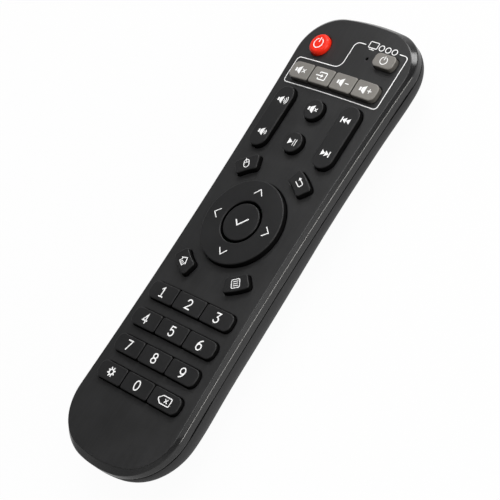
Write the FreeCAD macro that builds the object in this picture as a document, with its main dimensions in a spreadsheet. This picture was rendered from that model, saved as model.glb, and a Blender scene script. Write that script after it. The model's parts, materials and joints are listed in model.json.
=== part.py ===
import FreeCAD, Part
import Sketcher
import math
import os
from types import SimpleNamespace

# Remote control of a television box, in millimetres.
# Z is up, the back lies on Z = 0 and the infra-red end points to +Y.

DRIVING = [
    # Outline seen from above
    ("half_length", 90.4),
    ("half_waist", 24.9),
    ("waist_y", -3.3),
    ("side_radius", 1576.0),
    ("top_radius", 100.0),
    ("top_corner", 15.1),
    ("bottom_radius", 50.0),
    ("bottom_corner", 21.6),
    # Heights of the two shells
    ("rim_z", 14.5),
    ("parting_gap", 0.35),
    ("shoulder_z", 17.7),
    ("shoulder_round", 0.4),
    ("face_z", 20.0),
    ("crown_radius", 312.0),
    ("ceiling_z", 17.5),
    # Sloping border of the face, measured over its whole loft
    ("bevel_rise", 2.7),
    ("bevel_side", 2.7),
    ("bevel_top", 1.9),
    ("bevel_bottom", 2.8),
    ("brow_top_corner", 16.0),
    ("brow_bottom_corner", 15.2),
    # Walls and the tongue between the shells
    ("wall", 2.1),
    ("rabbet", 1.0),
    ("tongue_thick", 0.8),
    ("tongue_rise", 1.2),
    ("fit_gap", 0.1),
    # Back shell: flat strip along the middle
    ("flat_top_y", 68.4),
    ("flat_bottom_y", -75.0),
    ("flat_half_upper", 2.0),
    ("flat_half_belly", 8.6),
    ("belly_start_y", 24.4),
    ("belly_full_y", -17.6),
    # Keys
    ("key_gap", 0.3),
    ("split_gap", 0.4),
    ("key_floor_z", 16.3),
    ("flange_rise", 1.1),
    ("flange_out", 0.8),
    ("key_proud", 2.0),
    ("number_proud", 1.5),
    ("key_round", 0.4),
    ("power_x", -15.3),
    ("power_y", 76.0),
    ("power_radius", 4.1),
    ("power_round", 1.1),
    ("tv_power_x", 15.3),
    ("tv_power_y", 76.4),
    ("tv_power_width", 8.9),
    ("tv_power_height", 5.4),
    ("tv_power_corner", 1.9),
    ("row_half", 20.2),
    ("row_end_corner", 2.4),
    ("split_corner", 0.9),
    ("tv_row_y", 64.15),
    ("tv_row_height", 6.6),
    ("tv_row_pitch", 10.2),
    ("rocker_x", 15.5),
    ("rocker_y", 44.7),
    ("rocker_half_width", 4.07),
    ("rocker_half_length", 12.5),
    ("rocker_tab_half", 2.5),
    ("media_radius", 3.95),
    ("mute_y", 51.5),
    ("play_y", 37.8),
    ("pad_y", 4.7),
    ("pad_gap", 0.35),
    ("pad_radius", 16.35),
    ("pad_bore", 8.1),
    ("pad_flange_radius", 17.2),
    ("pad_flange_rise", 0.45),
    ("ok_radius", 7.2),
    ("skirt_bore", 8.4),
    ("skirt_radius", 10.3),
    ("skirt_z", 15.4),
    ("skirt_rise", 0.45),
    ("sector_inner", 21.1),
    ("sector_outer", 26.8),
    ("sector_low", 46.2),
    ("sector_high", 68.8),
    ("sector_corner", 1.1),
    ("number_y", -28.53),
    ("number_pitch", 10.73),
    ("number_height", 6.58),
    ("number_split_x", 6.85),
    # Board, mat and the pins that line the shells up
    ("board_z", 13.8),
    ("board_thick", 1.2),
    ("board_half", 22.0),
    ("board_top_y", 79.4),
    ("board_bottom_y", -69.6),
    ("board_corner", 6.0),
    ("mat_thick", 0.5),
    ("mat_inset", 0.5),
    ("mat_hole_gap", 0.5),
    ("pin_radius", 1.0),
    ("post_radius", 2.0),
    ("boss_radius", 2.2),
    ("pin_rise", 1.8),
    ("pin_top_y", 74.4),
    ("pin_middle_y", 27.7),
    ("pin_belly_y", -17.2),
    ("pin_bottom_y", -77.3),
    # Lamps and the window
    ("lamp_x", 6.8),
    ("lamp_y", 76.0),
    ("lamp_radius", 1.1),
    ("lamp_base_radius", 1.6),
    ("lamp_top_z", 17.2),
    ("lamp_hole", 0.6),
    ("window_half", 18.7),
    ("window_low_z", 12.2),
    ("window_high_z", 17.2),
    ("window_thick", 1.6),
    ("window_set", 0.3),
    ("window_back_y", 83.4),
    ("led_radius", 2.5),
    ("led_collar_radius", 2.9),
    ("led_z", 14.4),
    ("led_back_y", 80.0),
    ("led_front_y", 88.0),
    ("led_collar", 1.0),
    ("lead_half", 0.25),
    ("lead_spread", 1.27),
    ("lead_back_y", 77.3),
    # Battery bay, door and cells
    ("cell_radius", 5.25),
    ("cell_length", 43.7),
    ("nub_radius", 1.9),
    ("nub_length", 0.8),
    ("cell_x", 5.55),
    ("cell_z", 7.3),
    ("bay_half", 11.2),
    ("bay_wall", 1.2),
    ("bay_top_y", -18.6),
    ("bay_bottom_y", -69.1),
    ("bay_ceiling_z", 12.7),
    ("bay_ceiling", 1.0),
    ("lining_out", 2.0),
    ("lining_in", 3.2),
    ("lining_top_z", 9.8),
    ("rib_x", 9.0),
    ("rib_half", 0.6),
    ("rib_top_z", 11.0),
    ("rib_reach_top", 8.0),
    ("rib_reach_bottom", 14.0),
    ("door_half", 14.8),
    ("door_top_y", -15.6),
    ("door_edge_z", 8.0),
    ("door_thick", 1.3),
    ("door_gap", 0.3),
    ("tab_low_z", 3.1),
    ("tab_high_z", 4.1),
    ("tab_inner_x", 12.8),
    ("tab_outer_x", 14.2),
    ("tab_root_y", -17.2),
    ("tab_tip_y", -12.8),
    ("slot_low_z", 1.5),
    ("slot_high_z", 4.5),
    ("slot_inner_x", 12.5),
    ("grip_y", -23.6),
    ("grip_pitch", 1.8),
    ("grip_half_length", 6.0),
    ("grip_width", 0.8),
    ("grip_depth", 0.4),
    # Battery contacts
    ("sheet_metal", 0.4),
    ("contact_half", 4.2),
    ("contact_low_z", 3.2),
    ("contact_high_z", 11.0),
    ("dimple_radius", 1.8),
    ("dimple_rise", 0.5),
    ("tail_half", 1.0),
    ("tail_slot_gap", 0.3),
    ("coil_radius", 3.0),
    ("coil_wire", 0.25),
    ("coil_length", 4.7),
    ("coil_turns", 3.0),
    # Small components under the board
    ("chip_y", 45.4),
    ("chip_length", 12.8),
    ("chip_width", 7.5),
    ("chip_height", 2.3),
    ("chip_pin_pitch", 1.27),
    ("chip_pin_half", 0.2),
    ("chip_pin_reach", 1.2),
    ("chip_pin_drop", 1.3),
    ("capacitor_x", 12.0),
    ("capacitor_y", 20.4),
    ("capacitor_radius", 2.5),
    ("capacitor_height", 5.5),
    ("capacitor_round", 0.4),
    ("transistor_x", 8.0),
    ("transistor_y", 66.4),
    ("transistor_radius", 2.3),
    ("transistor_flat", 1.2),
    ("transistor_height", 4.6),
    ("transistor_stand", 2.0),
    ("resonator_x", -11.5),
    ("resonator_y", 45.4),
    ("resonator_half_length", 5.2),
    ("resonator_half_width", 2.2),
    ("resonator_height", 3.5),
]

CHIP_PINS_A_SIDE = 8
GRIP_RIBS = 6
OUTLINE_STEPS = 3
CORNER_STEPS = 5
SIDE_STEPS = 9
GAP_STEPS = 12
CUT_SPARE = 1.0
CROWN_SPARE = 1.5


class Size:
    """A length with the sheet expression that gives it."""

    def __init__(self, value, text):
        self.value = value
        self.text = text

    def joined(self, sign, other, value):
        return Size(value, "(%s %s %s)" % (self.text, sign, other.text))

    def __add__(self, other):
        other = as_size(other)
        return self.joined("+", other, self.value + other.value)

    def __sub__(self, other):
        other = as_size(other)
        return self.joined("-", other, self.value - other.value)

    def __mul__(self, other):
        other = as_size(other)
        return self.joined("*", other, self.value * other.value)

    def __truediv__(self, other):
        other = as_size(other)
        return self.joined("/", other, self.value / other.value)

    def __neg__(self):
        return Size(-self.value, "(0 - %s)" % self.text)


def as_size(item):
    if isinstance(item, Size):
        return item
    return Size(float(item), repr(float(item)))


# Document and sheet
doc = FreeCAD.newDocument("remote_control")
sheet = doc.addObject("Spreadsheet::Sheet", "sizes")
for row, (alias, value) in enumerate(DRIVING, 1):
    sheet.set("A%d" % row, alias)
    sheet.set("B%d" % row, str(value))
    sheet.setAlias("B%d" % row, alias)
doc.recompute()
size = SimpleNamespace(**{alias: Size(float(sheet.get(alias)), "sizes." + alias) for alias, value in DRIVING})
nodes = []

# Sizes that follow from the driving ones
upper_rim = size.rim_z + size.parting_gap
board_top = size.board_z + size.board_thick
mat_top = board_top + size.mat_thick
boss_foot = board_top + size.fit_gap
tongue_top = size.rim_z + size.tongue_rise
PIN_PLACES = (size.pin_top_y, size.pin_middle_y, size.pin_belly_y, size.pin_bottom_y)
BOARD_PINS = PIN_PLACES[:3]
SECTORS = {
    "menu_key": (-size.sector_high, -size.sector_low),
    "back_key": (size.sector_low, size.sector_high),
    "mouse_key": (as_size(180) - size.sector_high, as_size(180) - size.sector_low),
    "home_key": (as_size(180) + size.sector_low, as_size(180) + size.sector_high),
}
TV_KEYS = ("tv_mute_key", "tv_source_key", "tv_volume_down_key", "tv_volume_up_key")
NUMBER_ROWS = (
    ("key_1", "key_2", "key_3"),
    ("key_4", "key_5", "key_6"),
    ("key_7", "key_8", "key_9"),
    ("setup_key", "key_0", "delete_key"),
)


# Sketch helpers
def vector(x, y, z=0.0):
    return FreeCAD.Vector(x, y, z)


def flat_circle(x, y, radius):
    return Part.Circle(vector(x, y), vector(0, 0, 1), radius)


def flat_arc(x, y, radius, start, end):
    """Arc about (x, y), counterclockwise between two angles in degrees."""
    return Part.ArcOfCircle(flat_circle(x, y, radius), math.radians(start), math.radians(end))


def new_body(label):
    body = doc.addObject("PartDesign::Body", label)
    body.Label = label
    nodes.append(body)
    return body


def new_sketch(body, name, role="XY_Plane", x=None, y=None, z=None):
    sketch = body.newObject("Sketcher::SketchObject", name)
    plane = next(item for item in body.Origin.OriginFeatures if item.Role == role)
    sketch.AttachmentSupport = [(plane, "")]
    sketch.MapMode = "FlatFace"
    for axis, offset in (("x", x), ("y", y), ("z", z)):
        if offset is not None:
            sketch.setExpression("AttachmentOffset.Base." + axis, offset.text)
    return sketch


def pin(sketch, kind, where, value):
    """A constraint whose value follows the sheet."""
    number = sketch.addConstraint(Sketcher.Constraint(kind, *where, value.value))
    sketch.setExpression("Constraints[%d]" % number, value.text)


def pin_angle(sketch, line, angle):
    number = sketch.addConstraint(Sketcher.Constraint("Angle", line, math.radians(angle.value)))
    sketch.setExpression("Constraints[%d]" % number, angle.text + " * 1 deg")


def place_point(sketch, item, point, x, y):
    """Ties a point of the sketch to a place. None puts it on the axis."""
    for kind, value, axis in (("DistanceX", x, -2), ("DistanceY", y, -1)):
        if value is None:
            sketch.addConstraint(Sketcher.Constraint("PointOnObject", item, point, axis))
        else:
            pin(sketch, kind, (-1, 1, item, point), value)


def join_all(sketch, joints):
    for first, first_end, second, second_end in joints:
        sketch.addConstraint(Sketcher.Constraint("Tangent", first, first_end, second, second_end))


def add_circle(sketch, x, y, radius):
    across = 0.0 if x is None else x.value
    along = 0.0 if y is None else y.value
    item = sketch.addGeometry(flat_circle(across, along, radius.value))
    place_point(sketch, item, 3, x, y)
    pin(sketch, "Radius", (item,), radius)


def add_panel(sketch, left, right, bottom, top, left_corner, right_corner):
    """Rectangle with rounded corners, one radius for each side."""
    x0, x1, y0, y1 = left.value, right.value, bottom.value, top.value
    a, b = left_corner.value, right_corner.value
    first = sketch.addGeometry(Part.LineSegment(vector(x0 + a, y0), vector(x1 - b, y0)))
    sketch.addGeometry(flat_arc(x1 - b, y0 + b, b, 270, 360))
    sketch.addGeometry(Part.LineSegment(vector(x1, y0 + b), vector(x1, y1 - b)))
    sketch.addGeometry(flat_arc(x1 - b, y1 - b, b, 0, 90))
    sketch.addGeometry(Part.LineSegment(vector(x1 - b, y1), vector(x0 + a, y1)))
    sketch.addGeometry(flat_arc(x0 + a, y1 - a, a, 90, 180))
    sketch.addGeometry(Part.LineSegment(vector(x0, y1 - a), vector(x0, y0 + a)))
    sketch.addGeometry(flat_arc(x0 + a, y0 + a, a, 180, 270))
    join_all(sketch, [(first + k, 2, first + (k + 1) % 8, 1) for k in range(8)])
    for side in (0, 4):
        sketch.addConstraint(Sketcher.Constraint("Horizontal", first + side))
        sketch.addConstraint(Sketcher.Constraint("Vertical", first + side + 2))
    for corner, radius in ((1, right_corner), (3, right_corner), (5, left_corner), (7, left_corner)):
        pin(sketch, "Radius", (first + corner,), radius)
    pin(sketch, "DistanceY", (-1, 1, first, 1), bottom)
    pin(sketch, "DistanceX", (-1, 1, first + 2, 1), right)
    pin(sketch, "DistanceY", (-1, 1, first + 4, 1), top)
    pin(sketch, "DistanceX", (-1, 1, first + 6, 1), left)


def add_box(sketch, left, right, bottom, top):
    """Plain rectangle."""
    corners = [(left, bottom), (right, bottom), (right, top), (left, top)]
    first = sketch.GeometryCount
    for number in range(4):
        start = corners[number]
        end = corners[(number + 1) % 4]
        sketch.addGeometry(Part.LineSegment(vector(start[0].value, start[1].value),
                                            vector(end[0].value, end[1].value)))
    for number in range(4):
        following = first + (number + 1) % 4
        sketch.addConstraint(Sketcher.Constraint("Coincident", first + number, 2, following, 1))
    for side in (0, 2):
        sketch.addConstraint(Sketcher.Constraint("Horizontal", first + side))
        sketch.addConstraint(Sketcher.Constraint("Vertical", first + side + 1))
    place_point(sketch, first, 1, left, bottom)
    place_point(sketch, first + 2, 1, right, top)


def add_slot(sketch, x, y, half_width, half_length):
    """Upright slot with round ends."""
    reach = half_length.value - half_width.value
    across, along, radius = x.value, y.value, half_width.value
    first = sketch.addGeometry(flat_arc(across, along + reach, radius, 0, 180))
    sketch.addGeometry(Part.LineSegment(vector(across - radius, along + reach),
                                        vector(across - radius, along - reach)))
    sketch.addGeometry(flat_arc(across, along - reach, radius, 180, 360))
    sketch.addGeometry(Part.LineSegment(vector(across + radius, along - reach),
                                        vector(across + radius, along + reach)))
    join_all(sketch, [(first + k, 2, first + (k + 1) % 4, 1) for k in range(4)])
    sketch.addConstraint(Sketcher.Constraint("Vertical", first + 1))
    pin(sketch, "Radius", (first,), half_width)
    place_point(sketch, first, 3, x, y + half_length - half_width)
    pin(sketch, "DistanceY", (-1, 1, first + 2, 3), y - half_length + half_width)
    sketch.addConstraint(Sketcher.Constraint("Equal", first, first + 2))


def add_sector(sketch, inner, outer, low, high, corner):
    """Ring sector about the centre of the direction pad, with rounded corners."""
    cx, cy = 0.0, size.pad_y.value
    f = corner.value
    a0, a1 = low.value, high.value

    def polar(radius, angle):
        turn = math.radians(angle)
        return vector(cx + radius * math.cos(turn), cy + radius * math.sin(turn))

    def lean(radius):
        return math.degrees(math.asin(f / radius))

    far, near = outer.value - f, inner.value + f
    far_lean, near_lean = lean(far), lean(near)
    far_reach, near_reach = math.sqrt(far ** 2 - f ** 2), math.sqrt(near ** 2 - f ** 2)

    def corner_arc(radius, angle, start, end):
        centre = polar(radius, angle)
        return flat_arc(centre.x, centre.y, f, start, end)

    rim = sketch.addGeometry(flat_arc(cx, cy, outer.value, a0 + far_lean, a1 - far_lean))
    far_high = sketch.addGeometry(corner_arc(far, a1 - far_lean, a1 - far_lean, a1 + 90))
    line_high = sketch.addGeometry(Part.LineSegment(polar(near_reach, a1), polar(far_reach, a1)))
    near_high = sketch.addGeometry(corner_arc(near, a1 - near_lean, a1 + 90, a1 - near_lean + 180))
    hub = sketch.addGeometry(flat_arc(cx, cy, inner.value, a0 + near_lean, a1 - near_lean))
    near_low = sketch.addGeometry(corner_arc(near, a0 + near_lean, a0 + near_lean + 180, a0 + 270))
    line_low = sketch.addGeometry(Part.LineSegment(polar(near_reach, a0), polar(far_reach, a0)))
    far_low = sketch.addGeometry(corner_arc(far, a0 + far_lean, a0 - 90, a0 + far_lean))
    join_all(sketch, [
        (rim, 2, far_high, 1),
        (far_high, 2, line_high, 2),
        (line_high, 1, near_high, 1),
        (near_high, 2, hub, 2),
        (hub, 1, near_low, 1),
        (near_low, 2, line_low, 1),
        (line_low, 2, far_low, 1),
        (far_low, 2, rim, 1),
    ])
    place_point(sketch, rim, 3, None, size.pad_y)
    sketch.addConstraint(Sketcher.Constraint("Coincident", rim, 3, hub, 3))
    pin(sketch, "Radius", (rim,), outer)
    pin(sketch, "Radius", (hub,), inner)
    for item in (far_high, near_high, near_low, far_low):
        pin(sketch, "Radius", (item,), corner)
    for item, angle in ((line_low, low), (line_high, high)):
        sketch.addConstraint(Sketcher.Constraint("PointOnObject", rim, 3, item))
        pin_angle(sketch, item, angle)


# Outline of the case, waisted, with a flatter top end and a rounder bottom end
def corner_places(half, side_radius, waist_y, tip_y, end_radius, corner, way):
    """Centre of the corner arc at the right of one end, and where it meets its two neighbours."""
    end_y = tip_y - way * end_radius
    side_x = half + side_radius
    a, b = end_radius - corner, side_radius + corner
    across, along = side_x, waist_y - end_y
    apart = math.hypot(across, along)
    reach = (a * a - b * b + apart * apart) / (2 * apart)
    rise = math.sqrt(a * a - reach * reach)
    ux, uy = across / apart, along / apart
    centre = vector(ux * reach - way * uy * rise, end_y + uy * reach + way * ux * rise)
    end_centre = vector(0, end_y)
    side_centre = vector(side_x, waist_y)
    end_meet = end_centre + (centre - end_centre).normalize() * end_radius
    side_meet = side_centre + (centre - side_centre).normalize() * side_radius
    return end_centre, side_centre, centre, end_meet, side_meet


def outline_sizes(side_in, top_in, bottom_in, top_round=None, bottom_round=None):
    """Driving sizes of the outline moved inward, with corners of its own where they are given."""
    if top_round is None:
        top_round = size.top_corner - (side_in + top_in) / 2
    if bottom_round is None:
        bottom_round = size.bottom_corner - (side_in + bottom_in) / 2
    return SimpleNamespace(
        half=size.half_waist - side_in,
        side_radius=size.side_radius + side_in,
        top_y=size.half_length - top_in,
        top_radius=size.top_radius - top_in,
        top_corner=top_round,
        bottom_y=bottom_in - size.half_length,
        bottom_radius=size.bottom_radius - bottom_in,
        bottom_corner=bottom_round,
    )


def outline_places(shape):
    top = corner_places(shape.half.value, shape.side_radius.value, size.waist_y.value,
                        shape.top_y.value, shape.top_radius.value, shape.top_corner.value, 1)
    bottom = corner_places(shape.half.value, shape.side_radius.value, size.waist_y.value,
                           shape.bottom_y.value, shape.bottom_radius.value, shape.bottom_corner.value, -1)
    return top, bottom


def heading(centre, point):
    return math.degrees(math.atan2(point.y - centre.y, point.x - centre.x))


def add_outline(sketch, side_in, top_in=None, bottom_in=None, top_round=None, bottom_round=None):
    """Closed outline of eight tangent arcs."""
    side_in = as_size(side_in)
    top_in = side_in if top_in is None else top_in
    bottom_in = side_in if bottom_in is None else bottom_in
    shape = outline_sizes(side_in, top_in, bottom_in, top_round, bottom_round)
    top, bottom = outline_places(shape)
    top_end, side, top_corner, top_meet, top_side = top
    bottom_end, side, bottom_corner, bottom_meet, bottom_side = bottom
    rise = heading(top_corner, top_side)
    turn = heading(top_end, top_meet)
    sink = heading(bottom_corner, bottom_side)
    back = heading(bottom_end, bottom_meet)
    lean = heading(side, top_side)
    fall = heading(side, bottom_side) + 360
    first = sketch.addGeometry(flat_arc(top_corner.x, top_corner.y, shape.top_corner.value, rise, turn))
    sketch.addGeometry(flat_arc(0, top_end.y, shape.top_radius.value, turn, 180 - turn))
    sketch.addGeometry(flat_arc(-top_corner.x, top_corner.y, shape.top_corner.value,
                                180 - turn, 180 - rise))
    sketch.addGeometry(flat_arc(-side.x, side.y, shape.side_radius.value, 180 - fall, 180 - lean))
    sketch.addGeometry(flat_arc(-bottom_corner.x, bottom_corner.y, shape.bottom_corner.value,
                                180 - sink, 180 - back))
    sketch.addGeometry(flat_arc(0, bottom_end.y, shape.bottom_radius.value, 180 - back, 360 + back))
    sketch.addGeometry(flat_arc(bottom_corner.x, bottom_corner.y, shape.bottom_corner.value, back, sink))
    sketch.addGeometry(flat_arc(side.x, side.y, shape.side_radius.value, lean, fall))
    join_all(sketch, [
        (first, 2, first + 1, 1),
        (first + 1, 2, first + 2, 1),
        (first + 2, 2, first + 3, 2),
        (first + 3, 1, first + 4, 1),
        (first + 4, 2, first + 5, 1),
        (first + 5, 2, first + 6, 1),
        (first + 6, 2, first + 7, 2),
        (first + 7, 1, first, 1),
    ])
    radii = (shape.top_corner, shape.top_radius, shape.top_corner, shape.side_radius,
             shape.bottom_corner, shape.bottom_radius, shape.bottom_corner, shape.side_radius)
    for number, radius in enumerate(radii):
        pin(sketch, "Radius", (first + number,), radius)
    place_point(sketch, first + 1, 3, None, shape.top_y - shape.top_radius)
    place_point(sketch, first + 5, 3, None, shape.bottom_y + shape.bottom_radius)
    place_point(sketch, first + 3, 3, -(shape.half + shape.side_radius), size.waist_y)
    place_point(sketch, first + 7, 3, shape.half + shape.side_radius, size.waist_y)


# Feature helpers
def pad(body, sketch, length):
    feature = body.newObject("PartDesign::Pad", sketch.Name + "_pad")
    feature.Profile = sketch
    feature.setExpression("Length", length.text)
    return feature


def pocket(body, sketch, depth, upward=False, both=False):
    feature = body.newObject("PartDesign::Pocket", sketch.Name + "_pocket")
    feature.Profile = sketch
    feature.setExpression("Length", depth.text)
    feature.Reversed = upward
    if both:
        feature.SideType = "Symmetric"
    return feature


def revolve(body, sketch):
    feature = body.newObject("PartDesign::Revolution", sketch.Name + "_turned")
    feature.Profile = sketch
    feature.ReferenceAxis = (sketch, ["V_Axis"])
    feature.Angle = 360
    return feature


def round_edges(body, feature, names, radius):
    rounding = body.newObject("PartDesign::Fillet", feature.Name + "_round")
    rounding.Base = (feature, names)
    rounding.setExpression("Radius", radius.text)
    return rounding


def crown_cut(body, name, proud):
    """Trims a body to the crowned face, or to a surface that stands proud of it."""
    sketch = new_sketch(body, name + "_crown", role="XZ_Plane")
    reach = size.half_waist + size.crown_radius / 100
    radius = size.crown_radius + proud
    floor = size.face_z - size.crown_radius
    roof = size.face_z + proud + CUT_SPARE * 2
    swing = math.degrees(math.acos(reach.value / radius.value))
    level = floor.value + math.sqrt(radius.value ** 2 - reach.value ** 2)
    arc = sketch.addGeometry(flat_arc(0, floor.value, radius.value, swing, 180 - swing))
    left = sketch.addGeometry(Part.LineSegment(vector(-reach.value, level), vector(-reach.value, roof.value)))
    lid = sketch.addGeometry(Part.LineSegment(vector(-reach.value, roof.value), vector(reach.value, roof.value)))
    right = sketch.addGeometry(Part.LineSegment(vector(reach.value, roof.value), vector(reach.value, level)))
    for joint in ((arc, 2, left, 1), (left, 2, lid, 1), (lid, 2, right, 1), (right, 2, arc, 1)):
        sketch.addConstraint(Sketcher.Constraint("Coincident", *joint))
    for line, kind in ((left, "Vertical"), (lid, "Horizontal"), (right, "Vertical")):
        sketch.addConstraint(Sketcher.Constraint(kind, line))
    pin(sketch, "Radius", (arc,), radius)
    place_point(sketch, arc, 3, None, floor)
    place_point(sketch, lid, 1, -reach, roof)
    pin(sketch, "DistanceX", (-1, 1, lid, 2), reach)
    return pocket(body, sketch, size.half_length * 3, both=True)


def add_polygon(sketch, points):
    """Closed run of straight lines through tied points. None in a place puts it on the axis."""
    first = sketch.GeometryCount
    count = len(points)
    flat = [vector(0.0 if x is None else x.value, 0.0 if y is None else y.value) for x, y in points]
    for number in range(count):
        sketch.addGeometry(Part.LineSegment(flat[number], flat[(number + 1) % count]))
    for number in range(count):
        following = first + (number + 1) % count
        sketch.addConstraint(Sketcher.Constraint("Coincident", first + number, 2, following, 1))
        place_point(sketch, first + number, 1, *points[number])


# Keys: cap through the face and a flange under it that presses on the mat
def top_face(feature):
    doc.recompute()
    faces = feature.Shape.Faces
    highest = max(range(len(faces)), key=lambda number: faces[number].CenterOfMass.z)
    return "Face%d" % (highest + 1)


def make_key(label, draw_cap, proud, rounding, draw_flange=None):
    body = new_body(label)
    cap = new_sketch(body, label + "_cap", z=size.key_floor_z)
    draw_cap(cap)
    pad(body, cap, size.face_z + proud + CROWN_SPARE - size.key_floor_z)
    crown = crown_cut(body, label, proud)
    round_edges(body, crown, [top_face(crown)], rounding)
    if draw_flange is not None:
        flange = new_sketch(body, label + "_flange", z=size.key_floor_z)
        draw_flange(flange)
        pad(body, flange, size.flange_rise)
    return body


def make_round_key(label, x, y, radius, proud, rounding):
    return make_key(
        label,
        lambda sketch: add_circle(sketch, x, y, radius),
        proud,
        rounding,
        lambda sketch: add_circle(sketch, x, y, radius + size.flange_out),
    )


def row_cells(splits):
    """Left and right edge of each key in a joined row, with the corner size of either side."""
    half_gap = size.split_gap / 2
    lefts = [(-size.row_half, size.row_end_corner)] + [(x + half_gap, size.split_corner) for x in splits]
    rights = [(x - half_gap, size.split_corner) for x in splits] + [(size.row_half, size.row_end_corner)]
    return [(left, right, a, b) for (left, a), (right, b) in zip(lefts, rights)]


def make_row_key(label, cell, y, height, proud):
    left, right, left_corner, right_corner = cell
    half = height / 2
    out = size.flange_out
    return make_key(
        label,
        lambda sketch: add_panel(sketch, left, right, y - half, y + half, left_corner, right_corner),
        proud,
        size.key_round,
        lambda sketch: add_box(sketch, left, right, y - half - out, y + half + out),
    )


tv_splits = [-size.tv_row_pitch, as_size(0), size.tv_row_pitch]
number_splits = [-size.number_split_x, size.number_split_x]

make_round_key("power_key", size.power_x, size.power_y, size.power_radius, size.key_proud, size.power_round)
make_round_key("mute_key", None, size.mute_y, size.media_radius, size.key_proud, size.key_round)
make_round_key("play_pause_key", None, size.play_y, size.media_radius, size.key_proud, size.key_round)

half_width = size.tv_power_width / 2
half_height = size.tv_power_height / 2
make_key(
    "tv_power_key",
    lambda sketch: add_panel(sketch, size.tv_power_x - half_width, size.tv_power_x + half_width,
                             size.tv_power_y - half_height, size.tv_power_y + half_height,
                             size.tv_power_corner, size.tv_power_corner),
    size.key_proud,
    size.key_round,
    lambda sketch: add_box(sketch, size.tv_power_x - half_width, size.tv_power_x + half_width,
                           size.tv_power_y - half_height - size.flange_out,
                           size.tv_power_y + half_height + size.flange_out),
)

for label, cell in zip(TV_KEYS, row_cells(tv_splits)):
    make_row_key(label, cell, size.tv_row_y, size.tv_row_height, size.key_proud)

for number, labels in enumerate(NUMBER_ROWS):
    for label, cell in zip(labels, row_cells(number_splits)):
        make_row_key(label, cell, size.number_y - size.number_pitch * number, size.number_height,
                     size.number_proud)


def make_rocker(label, x):
    tab = size.rocker_half_width + size.flange_out
    return make_key(
        label,
        lambda sketch: add_slot(sketch, x, size.rocker_y, size.rocker_half_width, size.rocker_half_length),
        size.key_proud,
        size.key_round,
        lambda sketch: add_box(sketch, x - tab, x + tab, size.rocker_y - size.rocker_tab_half,
                               size.rocker_y + size.rocker_tab_half),
    )


make_rocker("volume_rocker", -size.rocker_x)
make_rocker("track_rocker", size.rocker_x)


for label, (low, high) in SECTORS.items():
    make_key(
        label,
        lambda sketch: add_sector(sketch, size.sector_inner, size.sector_outer, low, high, size.sector_corner),
        size.key_proud,
        size.key_round,
        lambda sketch: add_sector(sketch, size.sector_inner - size.flange_out,
                                  size.sector_outer + size.flange_out, low, high, size.sector_corner),
    )

make_key(
    "ok_key",
    lambda sketch: add_circle(sketch, None, size.pad_y, size.ok_radius),
    size.key_proud,
    size.key_round,
)

# Direction ring: turned section with a flange under the face
ring = new_body("dpad_ring")
section = new_sketch(ring, "dpad_ring_section", role="XZ_Plane", z=-size.pad_y)
ring_top = size.face_z + size.key_proud + CROWN_SPARE
flange_top = size.key_floor_z + size.pad_flange_rise
add_polygon(section, [
    (size.pad_bore, size.key_floor_z),
    (size.pad_flange_radius, size.key_floor_z),
    (size.pad_flange_radius, flange_top),
    (size.pad_radius, flange_top),
    (size.pad_radius, ring_top),
    (size.pad_bore, ring_top),
])
revolve(ring, section)
ring_crown = crown_cut(ring, "dpad_ring", size.key_proud)
round_edges(ring, ring_crown, [top_face(ring_crown)], size.key_round)

skirt = new_body("dpad_skirt")
collar = new_sketch(skirt, "dpad_skirt_ring", z=size.skirt_z)
add_circle(collar, None, size.pad_y, size.skirt_radius)
add_circle(collar, None, size.pad_y, size.skirt_bore)
pad(skirt, collar, size.skirt_rise)

# Upper case
upper = new_body("upper_case")
rim = new_sketch(upper, "upper_rim", z=upper_rim)
add_outline(rim, 0)
pad(upper, rim, size.shoulder_z - upper_rim)
shoulder = new_sketch(upper, "shoulder", z=size.shoulder_z)
add_outline(shoulder, 0)
brow = new_sketch(upper, "brow", z=size.shoulder_z + size.bevel_rise)
add_outline(brow, size.bevel_side, size.bevel_top, size.bevel_bottom,
            size.brow_top_corner, size.brow_bottom_corner)
bevel = upper.newObject("PartDesign::AdditiveLoft", "bevel")
bevel.Profile = shoulder
bevel.Sections = [brow]
bevel.Ruled = True
doc.recompute()
corner_line = ["Edge%d" % (number + 1) for number, edge in enumerate(bevel.Shape.Edges)
               if all(abs(point.z - size.shoulder_z.value) < 1e-6
                      for point in (edge.BoundBox.getPoint(0), edge.BoundBox.getPoint(6)))]
round_edges(upper, bevel, corner_line, size.shoulder_round)
crown_cut(upper, "upper_case", as_size(0))
cavity = new_sketch(upper, "cavity", z=size.ceiling_z)
add_outline(cavity, size.wall)
pocket(upper, cavity, size.ceiling_z - upper_rim + CUT_SPARE)
groove = new_sketch(upper, "tongue_rabbet", z=tongue_top + size.fit_gap)
add_outline(groove, size.rabbet)
pocket(upper, groove, tongue_top + size.fit_gap - upper_rim + CUT_SPARE)
openings = new_sketch(upper, "key_openings", z=size.face_z + CUT_SPARE)
gap = size.key_gap
add_circle(openings, size.power_x, size.power_y, size.power_radius + gap)
add_circle(openings, None, size.mute_y, size.media_radius + gap)
add_circle(openings, None, size.play_y, size.media_radius + gap)
add_circle(openings, None, size.pad_y, size.pad_radius + size.pad_gap)
add_circle(openings, size.lamp_x, size.lamp_y, size.lamp_hole)
add_panel(openings, size.tv_power_x - half_width - gap, size.tv_power_x + half_width + gap,
          size.tv_power_y - half_height - gap, size.tv_power_y + half_height + gap,
          size.tv_power_corner + gap, size.tv_power_corner + gap)
for rocker_x in (-size.rocker_x, size.rocker_x):
    add_slot(openings, rocker_x, size.rocker_y, size.rocker_half_width + gap, size.rocker_half_length + gap)


def add_row_opening(sketch, y, height):
    end = size.row_half + gap
    half = height / 2 + gap
    corner = size.row_end_corner + gap
    add_panel(sketch, -end, end, y - half, y + half, corner, corner)


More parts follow.
